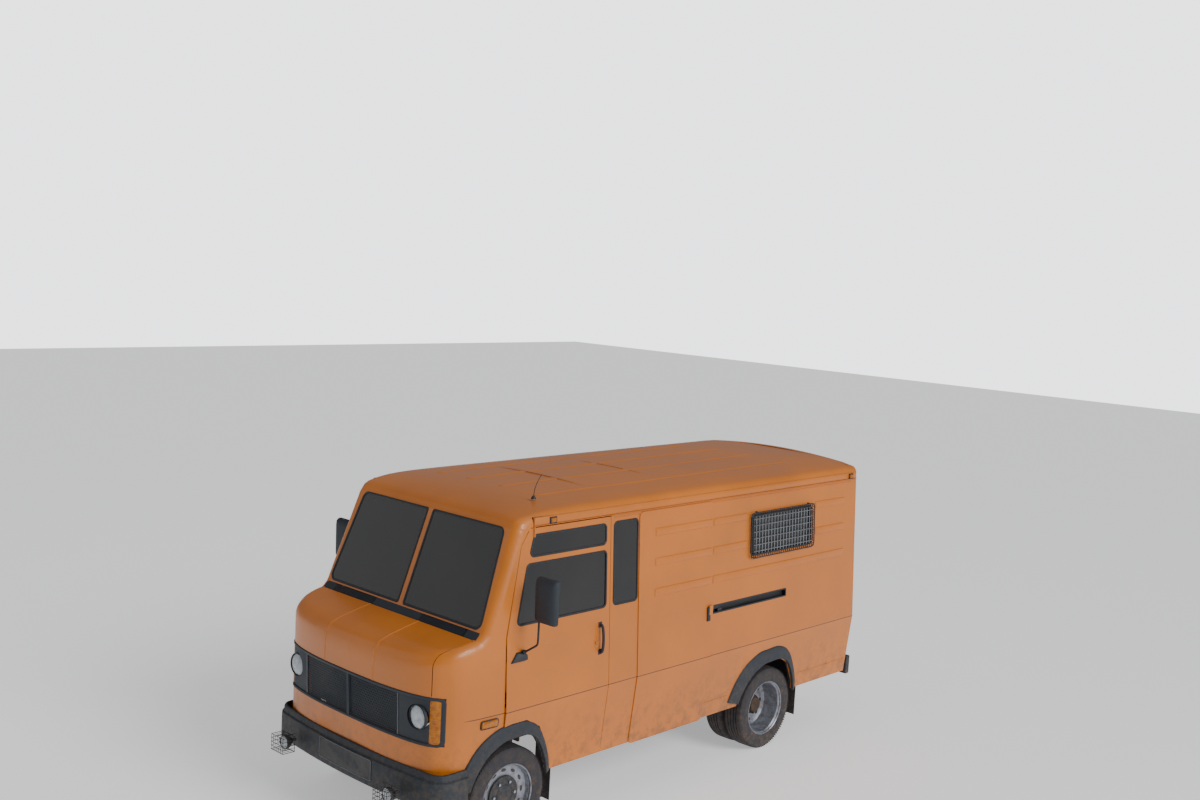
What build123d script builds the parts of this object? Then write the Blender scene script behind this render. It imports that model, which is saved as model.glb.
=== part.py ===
from build123d import *
import math
import os

# A forward-control delivery van: ladder chassis, panelled body, cab doors, one sliding side
# door, twin rear doors, steered front wheels and twin rear wheels.
# Millimetres.  Front faces -Y, the vehicle's left is +X, +Z is up, and the origin is on the
# ground under the middle of the overall length.

# ---- Driving dimensions -------------------------------------------------------------------
wheelbase = 3150.0
front_overhang = 930.0          # front axle to the foremost bar of the lamp guards
rear_overhang = 1400.0          # rear axle to the rear face of the rear bumper
waist_half_width = 1038.0       # at the waist crease, the widest part of the body
sill_half_width = 976.0
gutter_half_width = 964.0
sill_z = 484.0
waist_z = 1046.0
gutter_z = 2446.0
roof_z = 2560.0
floor_z = 660.0
skin = 3.0
tyre_radius = 372.0
tyre_width = 195.0
tyre_outer_x = 980.0            # outer wall of the outermost tyre
twin_spacing = 225.0            # centre to centre of a pair of rear tyres
rim_radius = 240.0
seam = 4.0                      # gap round a closed door or lid
near = 0.3                      # gap between pieces that lie against each other
running = 0.05                  # radial clearance of a pin in its eye
slit = 0.1                      # hairline cut that parts a bent or pierced sheet into plain sheets

# ---- Reference places ---------------------------------------------------------------------
front_axle_y = front_overhang - (front_overhang + wheelbase + rear_overhang) / 2
rear_axle_y = front_axle_y + wheelbase
nose_reach = 790.0              # front axle to the front of the hood
tail_reach = 1240.0             # rear axle to the rear face of the body
body_rear_y = rear_axle_y + tail_reach
reach = 9000.0                  # longer than the vehicle, for cutting shapes

os.makedirs("parts", exist_ok=True)


def behind(distance):
    """Y of a place this far behind the front axle."""
    return front_axle_y + distance


def side_x(z):
    """Half width of the body's outer surface at height z."""
    if z < waist_z:
        return waist_half_width - (waist_half_width - sill_half_width) * (waist_z - z) / (waist_z - sill_z)
    return waist_half_width - side_lean * (z - waist_z)


side_lean = (waist_half_width - gutter_half_width) / (gutter_z - waist_z)


def save(piece, name):
    """Label a finished piece and write it to its own file."""
    piece.part.label = name
    export_step(piece.part, "parts/" + name + ".step")


def save_pair(piece, left_name, right_name):
    """Write a left piece and its mirror image on the right."""
    save(piece, left_name)
    with BuildPart() as opposite:
        mirror(piece.part, about=Plane.YZ)
    save(opposite, right_name)


def block(x0, x1, y0, y1, z0, z1):
    """A box between two corners, for cutting and for plain pieces."""
    with BuildPart(mode=Mode.PRIVATE) as shape:
        with Locations(((x0 + x1) / 2, (y0 + y1) / 2, (z0 + z1) / 2)):
            Box(x1 - x0, y1 - y0, z1 - z0)
    return shape.part


def rod(start, end, radius):
    """A round bar between two points."""
    line = Vector(*end) - Vector(*start)
    with BuildPart(mode=Mode.PRIVATE) as shape:
        with BuildSketch(Plane(origin=start, z_dir=line)):
            Circle(radius)
        extrude(amount=line.length)
    return shape.part


def side_prism(points, x0, x1, corner=0.0):
    """An outline drawn on the side view, as (behind front axle, height), cut across X."""
    with BuildPart(mode=Mode.PRIVATE) as shape:
        with BuildSketch(Plane.YZ.offset(x0)):
            with BuildLine():
                Polyline(*[(behind(y), z) for y, z in points], close=True)
            make_face()
            if corner > 0:
                fillet(vertices(), corner)
        extrude(amount=x1 - x0)
    return shape.part


# ---- Body form ----------------------------------------------------------------------------
made_forms = {}


def body_form(inset, bottom=sill_z):
    """The body's outer form, drawn in by an even amount and made only once for each amount."""
    if (inset, bottom) not in made_forms:
        made_forms[(inset, bottom)] = draw_body_form(inset, bottom)
    return made_forms[(inset, bottom)]


def draw_body_form(inset, bottom):
    """The closed outer form: front view, side view and plan view cut from one block."""
    with BuildPart(mode=Mode.PRIVATE) as form:
        with BuildSketch(Plane.XZ):
            with BuildLine():
                top = roof_z - inset
                sill_x = side_x(bottom) - inset
                waist_x = waist_half_width - inset
                gutter_x = gutter_half_width - inset
                shoulder = (800.0, top - 45)
                edge = (gutter_x - 39, top - 68)
                ThreePointArc((-shoulder[0], shoulder[1]), (0, top), shoulder)
                Line(shoulder, edge)
                RadiusArc(edge, (gutter_x, gutter_z - inset), 75)
                Polyline((gutter_x, gutter_z - inset), (waist_x, waist_z), (sill_x, bottom))
                Line((sill_x, bottom), (-sill_x, bottom))
                Polyline((-sill_x, bottom), (-waist_x, waist_z), (-gutter_x, gutter_z - inset))
                RadiusArc((-gutter_x, gutter_z - inset), (-edge[0], edge[1]), 75)
                Line((-edge[0], edge[1]), (-shoulder[0], shoulder[1]))
            make_face()
        extrude(amount=reach / 2, both=True)
        with BuildSketch(Plane.YZ):
            with BuildLine():
                front = inset - nose_reach
                rear = body_rear_y - front_axle_y - inset
                chin = (behind(front + 90), bottom)
                grille_foot = (behind(front + 38), 870.0)
                hood_foot = (behind(front + 2), 1225.0)
                hood_nose = (behind(front + 4), 1400.0)
                hood_top = (behind(front + 170), 1545.0 - inset)
                cowl = (behind(inset - 346), 1604.0 - inset)
                screen_foot = (behind(inset - 302), 1650.0 - inset)
                screen_head = (behind(inset - 30), 2368.0 - inset)
                dome = (behind(inset + 60), 2450.0 - inset)
                crown = (behind(inset + 420), roof_z - inset - 22)
                flat = (behind(1000.0), roof_z + 5 - inset)
                Polyline(chin, grille_foot, hood_foot, hood_nose)
                Spline(hood_nose, (behind(front + 45), 1490.0 - inset), hood_top)
                Polyline(hood_top, cowl, screen_foot, screen_head)
                Spline(screen_head, dome, crown, flat)
                Polyline(flat, (front_axle_y + rear, roof_z + 5 - inset), (front_axle_y + rear, bottom), chin)
            make_face()
        extrude(amount=reach / 2, both=True, mode=Mode.INTERSECT)
        add(plan_form(inset), mode=Mode.INTERSECT)
    return form.part


def plan_form(inset):
    """The body's outline seen from above, as an upright block."""
    with BuildPart(mode=Mode.PRIVATE) as form:
        with BuildSketch(Plane.XY):
            with BuildLine():
                front = inset - nose_reach
                wide = waist_half_width + 20 - inset
                rear = body_rear_y - inset
                corner = (930.0 - inset, behind(front + 207))
                flank = (1012.0 - inset, behind(front + 370))
                aft = (wide, behind(640.0 - nose_reach))
                half = [(400.0, behind(front + 20)), (790.0, behind(front + 105)), corner, flank, aft]
                Spline((0, behind(front)), *half, tangents=((1, 0), (0.05, 1)))
                Line(aft, (wide, rear))
                Line((wide, rear), (-wide, rear))
                Line((-wide, rear), (-wide, aft[1]))
                Spline(*[(-x, y) for x, y in reversed(half)], (0, behind(front)), tangents=((0.05, -1), (1, 0)))
            make_face()
        extrude(amount=reach / 2)
    return form.part


outer_form = body_form(0)
inner_form = body_form(skin, sill_z - 50)
shell = outer_form - inner_form
clear_form = body_form(-near)

# ---- Outlines on the side view ------------------------------------------------------------
door_front = -110.0
door_rear = 962.0
door_top = 2368.0
slide_front = 1293.0
slide_rear = 2215.0
slide_top = 2368.0
window_corner = 34.0
door_outline = [(door_front, sill_z - 6), (door_front, 1600), (22, 2250), (110, door_top),
                (door_rear, door_top), (door_rear, sill_z - 6)]
top_light = [(104, 2160), (150, 2316), (912, 2316), (912, 2160)]
drop_light = [(-16, 1670), (84, 2107), (918, 2107), (918, 1670)]
narrow_light = [(1003, 1670), (1003, 2320), (1276, 2320), (1276, 1670)]
quarter_front = 2750.0
quarter_rear = 3650.0
quarter_light = [(quarter_front, 1840), (quarter_front, 2190), (quarter_rear, 2190), (quarter_rear, 1840)]
arch_shape = [(0.0, 0.0), (0.05, 0.42), (0.18, 0.78), (0.36, 0.97), (0.5, 1.0), (0.66, 1.0),
              (0.81, 0.86), (0.94, 0.45), (1.0, 0.0)]
arch_foot_z = 440.0
front_arch = (-520.0, 430.0, 944.0)
front_wheel_gap = (-405.0, 385.0, 835.0)
rear_arch = (wheelbase - 620.0, wheelbase + 450.0, 950.0)
rear_wheel_gap = (wheelbase - 470.0, wheelbase + 405.0, 830.0)


def arch(span, grow=0.0):
    """The flat-topped arch over a wheel, as a block across the whole width."""
    start, end, top = span
    foot = arch_foot_z - 80
    width = end - start + 2 * grow
    height = top + grow - foot
    points = [(start - grow + u * width, foot + v * height) for u, v in arch_shape]
    return side_prism(points, -reach / 8, reach / 8)


def outline_prism(outline, amount, corner=0.0):
    """A side-view outline drawn in by an amount, as a block through the left side."""
    with BuildPart(mode=Mode.PRIVATE) as shape:
        with BuildSketch(Plane.YZ.offset(600)):
            with BuildLine():
                Polyline(*[(behind(y), z) for y, z in outline], close=True)
            make_face()
            if amount != 0:
                offset(amount=-amount, kind=Kind.INTERSECTION)
            if corner > 0:
                fillet(vertices(), corner)
        extrude(amount=700)
    return shape.part


def hairlines(*cuts):
    """Hairline cuts through the left side's sheet, each from (behind front axle, height) to another such place."""
    with BuildPart(mode=Mode.PRIVATE) as shape:
        for y0, z0, y1, z1 in cuts:
            add(block(945, 1200, behind(y0), behind(y1) + slit, z0, z1 + slit))
    return shape.part


# ---- Cab doors ----------------------------------------------------------------------------
door_depth = 38.0
flange = 20.0
hinge_x = 1000.0
hinge_y = behind(door_front + 45)
hinge_pin_radius = 7.0
hinge_eye_radius = 13.0
hinge_heights = (1150.0, 1480.0)
eye_half_height = 30.0
hinge_arm_height = 24.0
box_rise = 36.0                 # top of a wheel box above the edge of its arch
handle_y = 858.0
handle_z = 1432.0
button_radius = 11.0
button_z = 1405.0
mirror_foot_y = 40.0
mirror_foot_z = 1440.0

front_flare_zone = arch(front_arch, seam)
door_zone = outline_prism(door_outline, 0) - front_flare_zone

with BuildPart() as left_cab_door:
    add(outer_form & door_zone)
    add(body_form(door_depth, sill_z - 50), mode=Mode.SUBTRACT)
    cavity = outline_prism(door_outline, flange) - arch(front_arch, seam + flange)
    add(inner_form & cavity, mode=Mode.SUBTRACT)
    add(outline_prism(top_light, 0, window_corner), mode=Mode.SUBTRACT)
    add(outline_prism(drop_light, 0, window_corner), mode=Mode.SUBTRACT)
    for height in hinge_heights:
        eye_low = height - eye_half_height
        skin_x = side_x(height + eye_half_height) - skin / 2
        notch = eye_half_height + hinge_arm_height + 12
        add(inner_form & block(900, 1200, behind(door_front) - 1, hinge_y + 30, height - notch, height + notch),
            mode=Mode.SUBTRACT)
        add(rod((hinge_x, hinge_y, eye_low), (hinge_x, hinge_y, height + eye_half_height), hinge_eye_radius))
        add(block(hinge_x, skin_x, hinge_y - 9, hinge_y + 9, eye_low, height + eye_half_height))
        bore = hinge_pin_radius + running
        add(rod((hinge_x, hinge_y, eye_low - 1), (hinge_x, hinge_y, height + eye_half_height + 1), bore),
            mode=Mode.SUBTRACT)
    # grab handle: two feet and an upright bar outside the skin
    grip_x = side_x(handle_z) + 34
    for end in (-100, 100):
        foot_x = side_x(handle_z + end) - 1
        add(block(foot_x, grip_x + 8, behind(handle_y) - 10, behind(handle_y) + 10,
                  handle_z + end - 11, handle_z + end + 11))
    add(block(grip_x - 8, grip_x + 8, behind(handle_y) - 10, behind(handle_y) + 10, handle_z - 111, handle_z + 111))
    # foot that carries the mirror arm
    foot_x = side_x(mirror_foot_z)
    add(block(foot_x - 1, foot_x + 34, behind(mirror_foot_y) - 30, behind(mirror_foot_y) + 30,
              mirror_foot_z - 22, mirror_foot_z + 22))
    add(rod((foot_x + 34 - 16, behind(mirror_foot_y), mirror_foot_z + 20),
            (foot_x + 34 - 16, behind(mirror_foot_y), mirror_foot_z + 52), 8))
    # bore for the push button
    button_x = side_x(button_z)
    add(rod((button_x - 60, behind(handle_y) - 42, button_z), (button_x + 30, behind(handle_y) - 42, button_z),
            button_radius + running), mode=Mode.SUBTRACT)
save_pair(left_cab_door, "left_cab_door", "right_cab_door")

with BuildPart() as left_door_button:
    button_x = side_x(button_z)
    add(rod((button_x - 18, behind(handle_y) - 42, button_z), (button_x + 8, behind(handle_y) - 42, button_z),
            button_radius))
    add(rod((button_x - 20, behind(handle_y) - 42, button_z), (button_x - 14, behind(handle_y) - 42, button_z),
            button_radius + 5))
save_pair(left_door_button, "left_door_button", "right_door_button")

with BuildPart() as left_top_light:
    add(body_form(0.5) & outline_prism(top_light, near, window_corner))
    add(body_form(5.5, sill_z - 50), mode=Mode.SUBTRACT)
save_pair(left_top_light, "left_top_light", "right_top_light")

with BuildPart() as left_drop_glass:
    add(body_form(skin + near) & outline_prism(drop_light, -9, window_corner + 6))
    add(body_form(skin + near + 5, sill_z - 50), mode=Mode.SUBTRACT)
save_pair(left_drop_glass, "left_drop_glass", "right_drop_glass")

# ---- Mirrors ------------------------------------------------------------------------------
mirror_rod_x = side_x(mirror_foot_z) + 34 - 16
mirror_head_x = 1230.0
mirror_head_width = 210.0
mirror_low_z = 1722.0
mirror_high_z = 2058.0
mirror_stem_x = mirror_head_x - 66
mirror_y = behind(mirror_foot_y + 10)
stem_radius = 8.0

with BuildPart() as left_mirror_arm:
    root_y = behind(mirror_foot_y)
    collar_z = mirror_foot_z + 22 + near
    add(rod((mirror_rod_x, root_y, collar_z), (mirror_rod_x, root_y, collar_z + 26), 17))
    add(rod((mirror_rod_x, root_y, collar_z - 1), (mirror_rod_x, root_y, collar_z + 40), 8 + running),
        mode=Mode.SUBTRACT)
    elbow = (mirror_stem_x, mirror_y, 1555.0)
    add(rod((mirror_rod_x + 12, root_y, collar_z + 13), elbow, stem_radius))
    with Locations(elbow):
        Sphere(stem_radius)
    add(rod(elbow, (mirror_stem_x, mirror_y, mirror_high_z - 60), stem_radius))
    add(rod((mirror_rod_x, root_y, collar_z - 1), (mirror_rod_x, root_y, collar_z + 40), 8 + running),
        mode=Mode.SUBTRACT)
save_pair(left_mirror_arm, "left_mirror_arm", "right_mirror_arm")

with BuildPart() as left_mirror_head:
    head_depth = 62.0
    half = mirror_head_width / 2
    with Locations((mirror_head_x, mirror_y, (mirror_low_z + mirror_high_z) / 2)):
        Box(mirror_head_width, head_depth, mirror_high_z - mirror_low_z)
    fillet(edges().filter_by(Axis.Y), 22)
    chamfer(faces().sort_by(Axis.Y)[0].edges(), 18)
    socket_top = mirror_high_z - 60 + 2
    add(rod((mirror_stem_x, mirror_y, mirror_low_z - 5), (mirror_stem_x, mirror_y, socket_top),
            stem_radius + running), mode=Mode.SUBTRACT)
save_pair(left_mirror_head, "left_mirror_head", "right_mirror_head")

# ---- Hood ---------------------------------------------------------------------------------
hood_foot_z = 1228.0
hood_rear = -354.0
hood_axis_y = behind(hood_rear - 6)
hood_axis_z = 1574.0


def hood_zone(grow):
    """The hood's outline from above, as a block that starts at the grille's top edge."""
    with BuildPart(mode=Mode.PRIVATE) as zone:
        with BuildSketch(Plane.XY.offset(hood_foot_z - grow)):
            with BuildLine():
                half = [(932 + grow, hood_rear + grow), (917 + grow, -449), (850 + grow, -640), (812 + grow, -900)]
                points = half + [(-x, y) for x, y in reversed(half)]
                Polyline(*[(x, behind(y)) for x, y in points], close=True)
            make_face()
        extrude(amount=900)
    return zone.part


with BuildPart() as hood:
    add(shell & hood_zone(0))
    for side in (-1, 1):
        low = min(side * 560, side * 500)
        add(rod((low, hood_axis_y, hood_axis_z), (low + 60, hood_axis_y, hood_axis_z), 12))
        add(block(low, low + 60, hood_axis_y - 6, hood_axis_y + 6, hood_axis_z, hood_axis_z + 23))
        add(rod((low - 1, hood_axis_y, hood_axis_z), (low + 61, hood_axis_y, hood_axis_z), 7 + running),
            mode=Mode.SUBTRACT)
save(hood, "hood")

# ---- Cab front shell ----------------------------------------------------------------------
roof_joint_z = 2372.0
pane_low = 1668.0
pane_high = 2362.0
pillar_half = 34.0


def pane_zone(grow):
    """The left windscreen pane's outline from the front, as a block through the windscreen."""
    with BuildPart(mode=Mode.PRIVATE) as zone:
        with BuildSketch(Plane.XZ.offset(-behind(-20))):
            with BuildLine():
                points = [(pillar_half - grow, pane_low - grow), (pillar_half - grow, pane_high + grow),
                          (842 + grow, pane_high + grow), (918 + grow, pane_low - grow)]
                Polyline(*points, close=True)
            make_face()
            fillet(vertices().sort_by(Axis.X)[-2:], 50)
        extrude(amount=400)
    return zone.part


hood_rear_half = 938.0
fender_parts = (0.0, 0.09, 0.18, 0.36, 0.66, 0.81, 0.88, 0.94)   # where the band over the front wheel is parted
hood_swing = 24.0               # room behind the hood's rear corners as it opens
cowl_zone = block(-912, 912, behind(hood_rear + 9), behind(-303), 1560, 1690)
grille_zone = block(-926, 926, behind(-900), behind(-560), 872, 1224)

with BuildPart() as cab_front_shell:
    front_zone = side_prism([(-1000, 300), (-1000, roof_joint_z), (110 - seam, roof_joint_z),
                             (22 - seam, 2250), (door_front - seam, 1600), (door_front - seam, 300)],
                            -reach / 8, reach / 8)
    add(shell & (front_zone + (arch(front_arch) - block(-reach, reach, -reach, reach, 944, reach))))
    add(arch(front_wheel_gap), mode=Mode.SUBTRACT)
    add(hood_zone(seam), mode=Mode.SUBTRACT)
    add(cowl_zone, mode=Mode.SUBTRACT)
    add(block(-hood_rear_half, hood_rear_half, behind(hood_rear), behind(hood_rear) + hood_swing, 1560, 1690),
        mode=Mode.SUBTRACT)
    add(grille_zone, mode=Mode.SUBTRACT)
    fender_cuts = hairlines((front_arch[0], front_arch[2], front_arch[1], front_arch[2]),
                            *[(front_wheel_gap[0] + along * (front_wheel_gap[1] - front_wheel_gap[0]), 300,
                               front_wheel_gap[0] + along * (front_wheel_gap[1] - front_wheel_gap[0]), front_arch[2])
                              for along in fender_parts])
    add(fender_cuts, mode=Mode.SUBTRACT)
    add(fender_cuts.mirror(Plane.YZ), mode=Mode.SUBTRACT)
    left_pane_hole = pane_zone(0)
    add(left_pane_hole, mode=Mode.SUBTRACT)
    add(left_pane_hole.mirror(Plane.YZ), mode=Mode.SUBTRACT)
    for side in (-1, 1):
        # door post that stands on the wheel box and carries the two door hinges
        post = sorted((side * 890, side * 935))
        add(block(post[0], post[1], hinge_y - 60, hinge_y + 25, front_wheel_gap[2] + box_rise, 1560))
        for height in hinge_heights:
            for level in (height - eye_half_height - hinge_arm_height - near, height + eye_half_height + near):
                arm = sorted((side * 930, side * hinge_x))
                add(block(arm[0], arm[1], hinge_y - 10, hinge_y + 10, level, level + hinge_arm_height))
                add(rod((side * hinge_x, hinge_y, level), (side * hinge_x, hinge_y, level + hinge_arm_height), 8.5))
            add(rod((side * hinge_x, hinge_y, height - eye_half_height - 20),
                    (side * hinge_x, hinge_y, height + eye_half_height + 20), hinge_pin_radius))
save(cab_front_shell, "cab_front_shell")

with BuildPart() as windscreen_panes:
    left_pane = pane_zone(-near)
    add((body_form(0.5) - body_form(6.0, sill_z - 50)) & left_pane)
    add(windscreen_panes.part.mirror(Plane.YZ))
save(windscreen_panes, "windscreen_panes")

with BuildPart() as cowl_vent:
    add(shell & block(-912 + near, 912 - near, behind(hood_rear + 9) + near, behind(-303) - near, 1560, 1690))
    # beam under the cowl that carries the hood hinges, from door post to door post
    add(block(-880, 880, behind(-336), behind(-296), 1500, 1570))
    add(block(-880, 880, behind(-336), behind(-330), 1569, 1690) & body_form(skin - 1))
    for side in (-1, 1):
        middle = side * 530
        for low in (middle - 30 - 22 - near, middle + 30 + near):
            add(block(low, low + 22, hood_axis_y - 10, behind(-330), 1540, hood_axis_z + 6))
            add(rod((low, hood_axis_y, hood_axis_z), (low + 22, hood_axis_y, hood_axis_z), 10))
        add(rod((middle - 45, hood_axis_y, hood_axis_z), (middle + 45, hood_axis_y, hood_axis_z), 7))
save(cowl_vent, "cowl_vent")

# ---- Grille and front lamps ---------------------------------------------------------------
lamp_x = 749.0
lamp_z = 1066.0
lamp_radius = 90.0
indicator_low = 842.0
indicator_high = 920.0
grille_form = body_form(2) - body_form(10, sill_z - 50)

with BuildPart() as grille_panel:
    add(grille_form & block(-926 + near, 926 - near, behind(-900), behind(-560), 872 + near, 1224 - near))
    for side in (-1, 1):
        add(rod((side * lamp_x, behind(-900), lamp_z), (side * lamp_x, behind(-500), lamp_z), lamp_radius + 2),
            mode=Mode.SUBTRACT)
        band = sorted((side * (indicator_low - near), side * (indicator_high + near)))
        add(block(band[0], band[1], behind(-900), behind(-500), 882 - near, 1206 + near), mode=Mode.SUBTRACT)
    add(block(-14, 14, behind(-783), behind(-770), 880, 1216))
save(grille_panel, "grille_panel")

with BuildPart() as indicator_lamps:
    lens_zone = block(indicator_low, indicator_high, behind(-900), behind(-500), 882, 1206)
    add((body_form(0.5) - body_form(26, sill_z - 50)) & lens_zone)
    repeater = block(900, 1100, behind(-330), behind(-170), 958, 1026)
    add((body_form(-16) - clear_form) & repeater)
    add(indicator_lamps.part.mirror(Plane.YZ))
save(indicator_lamps, "indicator_lamps")

# ---- Roof, sides and rear frame -----------------------------------------------------------
gutter_foot_z = 2379.0
gutter_front = 138.0
rear_frame_depth = 60.0
frame_front_y = body_rear_y - rear_frame_depth
side_inner_x = 880.0

with BuildPart() as roof_panel:
    add(shell & block(-reach / 4, reach / 4, -reach, frame_front_y, roof_joint_z, roof_z + 50))
    for side in (-1, 1):
        band = sorted((side * side_inner_x, side * 1200))
        add(block(band[0], band[1], behind(gutter_front), frame_front_y, roof_joint_z - 1, gutter_z - 1),
            mode=Mode.SUBTRACT)
    # cross members under the skin
    for bow in range(4):
        bow_y = behind(700) + bow * (frame_front_y - behind(900)) / 3.4
        add(outer_form & block(-905, 905, bow_y, bow_y + 40, roof_z - 110, roof_z - 2)
            & body_form(skin - 0.5) - body_form(28, sill_z - 50))
save(roof_panel, "roof_panel")

slide_hole_front = slide_front + 30
slide_hole_rear = slide_rear - 45
rail_low = 1403.0
rail_high = 1475.0
rail_rear = 3288.0
rail_depth = 40.0
rail_wall = 6.0
post_x = 905.0


def side_panel():
    """The plain side of the body behind the cab door, with its gutter band over the door."""
    with BuildPart(mode=Mode.PRIVATE) as panel:
        side_zone = block(side_inner_x, 1200, behind(door_rear + seam), frame_front_y, 300, gutter_z - 1)
        band_zone = block(side_inner_x, 1200, behind(gutter_front), frame_front_y, gutter_foot_z, gutter_z - 1)
        add(shell & (side_zone + band_zone))
        add(arch(rear_wheel_gap), mode=Mode.SUBTRACT)
        add(outline_prism(narrow_light, 0, window_corner), mode=Mode.SUBTRACT)
        add(outline_prism(quarter_light, 0, window_corner), mode=Mode.SUBTRACT)
        gap_start, gap_end, gap_top = rear_wheel_gap
        add(hairlines((gutter_front, waist_z, 9000, waist_z), (gap_start, 300, gap_start, waist_z),
                      (gap_end, 300, gap_end, waist_z),
                      (door_rear + seam, gutter_foot_z - 1, door_rear + seam, gutter_z)), mode=Mode.SUBTRACT)
        # post between the cab door and the cargo side
        add((body_form(skin + near, sill_z) - body_form(door_depth, sill_z - 50))
            & block(post_x, 1200, behind(door_rear + seam), behind(door_rear + seam + 34), floor_z + 4, gutter_z - 20))
    return panel.part


plain_side = side_panel()
with BuildPart() as right_side_panel:
    add(plain_side.mirror(Plane.YZ))
save(right_side_panel, "right_side_panel")

with BuildPart() as left_side_panel:
    add(plain_side)
    add(block(side_inner_x, 1200, behind(slide_hole_front), behind(slide_hole_rear), sill_z + 20, slide_top - 40),
        mode=Mode.SUBTRACT)
    add(block(side_inner_x, 1200, behind(slide_hole_rear) - 1, behind(rail_rear), rail_low, rail_high),
        mode=Mode.SUBTRACT)
    add(hairlines((slide_hole_front, 300, slide_hole_front, gutter_z), (slide_hole_rear, 300, slide_hole_rear, gutter_z),
                  (rail_rear, waist_z, rail_rear, gutter_z)), mode=Mode.SUBTRACT)
save(left_side_panel, "left_side_panel")

with BuildPart() as sliding_door_rail:
    # back, two flanges and a rear stop, each a plain strip
    track_front = behind(slide_hole_rear)
    flange_form = body_form(0) - body_form(rail_depth, sill_z - 50)
    back_form = body_form(rail_depth - rail_wall) - body_form(rail_depth, sill_z - 50)
    inner_low = rail_low + rail_wall
    inner_high = rail_high - rail_wall
    add(flange_form & block(side_inner_x, 1200, track_front, behind(rail_rear), rail_low, inner_low))
    add(flange_form & block(side_inner_x, 1200, track_front, behind(rail_rear), inner_high, rail_high))
    add(back_form & block(side_inner_x, 1200, track_front, behind(rail_rear), inner_low + running, inner_high - running))
    add((body_form(0) - body_form(rail_depth - rail_wall - running, sill_z - 50))
        & block(side_inner_x, 1200, behind(rail_rear) - rail_wall, behind(rail_rear), inner_low + running,
                inner_high - running))
save(sliding_door_rail, "sliding_door_rail")

with BuildPart() as side_windows:
    pane_form = body_form(0.5) - body_form(5.5, sill_z - 50)
    add(pane_form & outline_prism(narrow_light, near, window_corner))
    add(pane_form & outline_prism(quarter_light, near, window_corner))
    add(side_windows.part.mirror(Plane.YZ))
save(side_windows, "side_windows")

guard_margin = 30.0
guard_bar = 8.0
guard_stand = 20.0
with BuildPart() as window_guards:
    guard_form = body_form(-guard_stand - guard_bar) - body_form(-guard_stand, sill_z - 50)
    add(guard_form & (outline_prism(quarter_light, -guard_margin, 40)
                      - outline_prism(quarter_light, -guard_margin + guard_bar, 32)))
    guard_low = 1840 - guard_margin
    guard_high = 2190 + guard_margin
    for bar in range(1, 10):
        bar_y = quarter_front + bar * (quarter_rear - quarter_front) / 10
        add(guard_form & block(900, 1200, behind(bar_y), behind(bar_y) + guard_bar, guard_low + 1, guard_high - 1))
    for bar in range(1, 5):
        bar_z = guard_low + bar * (guard_high - guard_low) / 5
        add(guard_form & block(900, 1200, behind(quarter_front - guard_margin + 2),
                               behind(quarter_rear + guard_margin - 2), bar_z, bar_z + guard_bar))
    for foot_y in (quarter_front + 60, quarter_rear - 60):
        for foot_z in (guard_low, guard_high - guard_bar):
            add((body_form(-guard_stand - 1) - clear_form)
                & block(900, 1200, behind(foot_y), behind(foot_y) + 14, foot_z, foot_z + guard_bar))
    add(window_guards.part.mirror(Plane.YZ))
save(window_guards, "window_guards")

# ---- Rear frame and doors -----------------------------------------------------------------
rail_x = 415.0                  # middle of each chassis rail
bumper_arm_low = 560.0
rear_door_half = 905.0
rear_door_low = 640.0
rear_door_high = 2380.0
rear_door_depth = 34.0
rear_hinge_x = 925.0
rear_hinge_y = body_rear_y + 14
rear_hinge_heights = (1080.0, 1600.0, 2200.0)

with BuildPart() as rear_frame:
    add(shell & block(-reach / 4, reach / 4, frame_front_y, reach, 300, roof_z + 50))
    add(block(-rear_door_half - seam, rear_door_half + seam, frame_front_y - 5, reach,
              rear_door_low - seam, rear_door_high + seam), mode=Mode.SUBTRACT)
    for side in (-1, 1):
        add(block(side * rail_x - 32, side * rail_x + 32, frame_front_y, reach, bumper_arm_low - 2,
                  bumper_arm_low + 37), mode=Mode.SUBTRACT)
        for height in rear_hinge_heights:
            for level in (height - 30 - 22 - near, height + 30 + near):
                foot = sorted((side * (rear_hinge_x - 9), side * (rear_hinge_x + 9)))
                add(block(foot[0], foot[1], body_rear_y - 2, rear_hinge_y, level, level + 22))
                add(rod((side * rear_hinge_x, rear_hinge_y, level), (side * rear_hinge_x, rear_hinge_y, level + 22), 10))
            add(rod((side * rear_hinge_x, rear_hinge_y, height - 50), (side * rear_hinge_x, rear_hinge_y, height + 50), 7))
save(rear_frame, "rear_frame")

with BuildPart() as rear_left_door:
    add(block(seam / 2, rear_door_half, body_rear_y - rear_door_depth, body_rear_y, rear_door_low, rear_door_high))
    add(block(seam / 2 + 22, rear_door_half - 22, body_rear_y - rear_door_depth - 1, body_rear_y - skin,
              rear_door_low + 22, rear_door_high - 22), mode=Mode.SUBTRACT)
    for height in rear_hinge_heights:
        add(rod((rear_hinge_x, rear_hinge_y, height - 30), (rear_hinge_x, rear_hinge_y, height + 30), 13))
        add(block(rear_door_half - 60, rear_door_half - 1, body_rear_y - 1, rear_hinge_y - 4, height - 30, height + 30))
        add(block(rear_door_half - 2, rear_hinge_x, body_rear_y + near, rear_hinge_y - 4, height - 30, height + 30))
        add(rod((rear_hinge_x, rear_hinge_y, height - 31), (rear_hinge_x, rear_hinge_y, height + 31), 7 + running),
            mode=Mode.SUBTRACT)
save(rear_left_door, "rear_left_door")
latch_x = -70.0
latch_z = 1180.0
with BuildPart() as rear_right_door:
    mirror(rear_left_door.part, about=Plane.YZ)
    add(rod((latch_x, body_rear_y - 40, latch_z), (latch_x, body_rear_y + 5, latch_z), 12 + running), mode=Mode.SUBTRACT)
save(rear_right_door, "rear_right_door")

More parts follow.
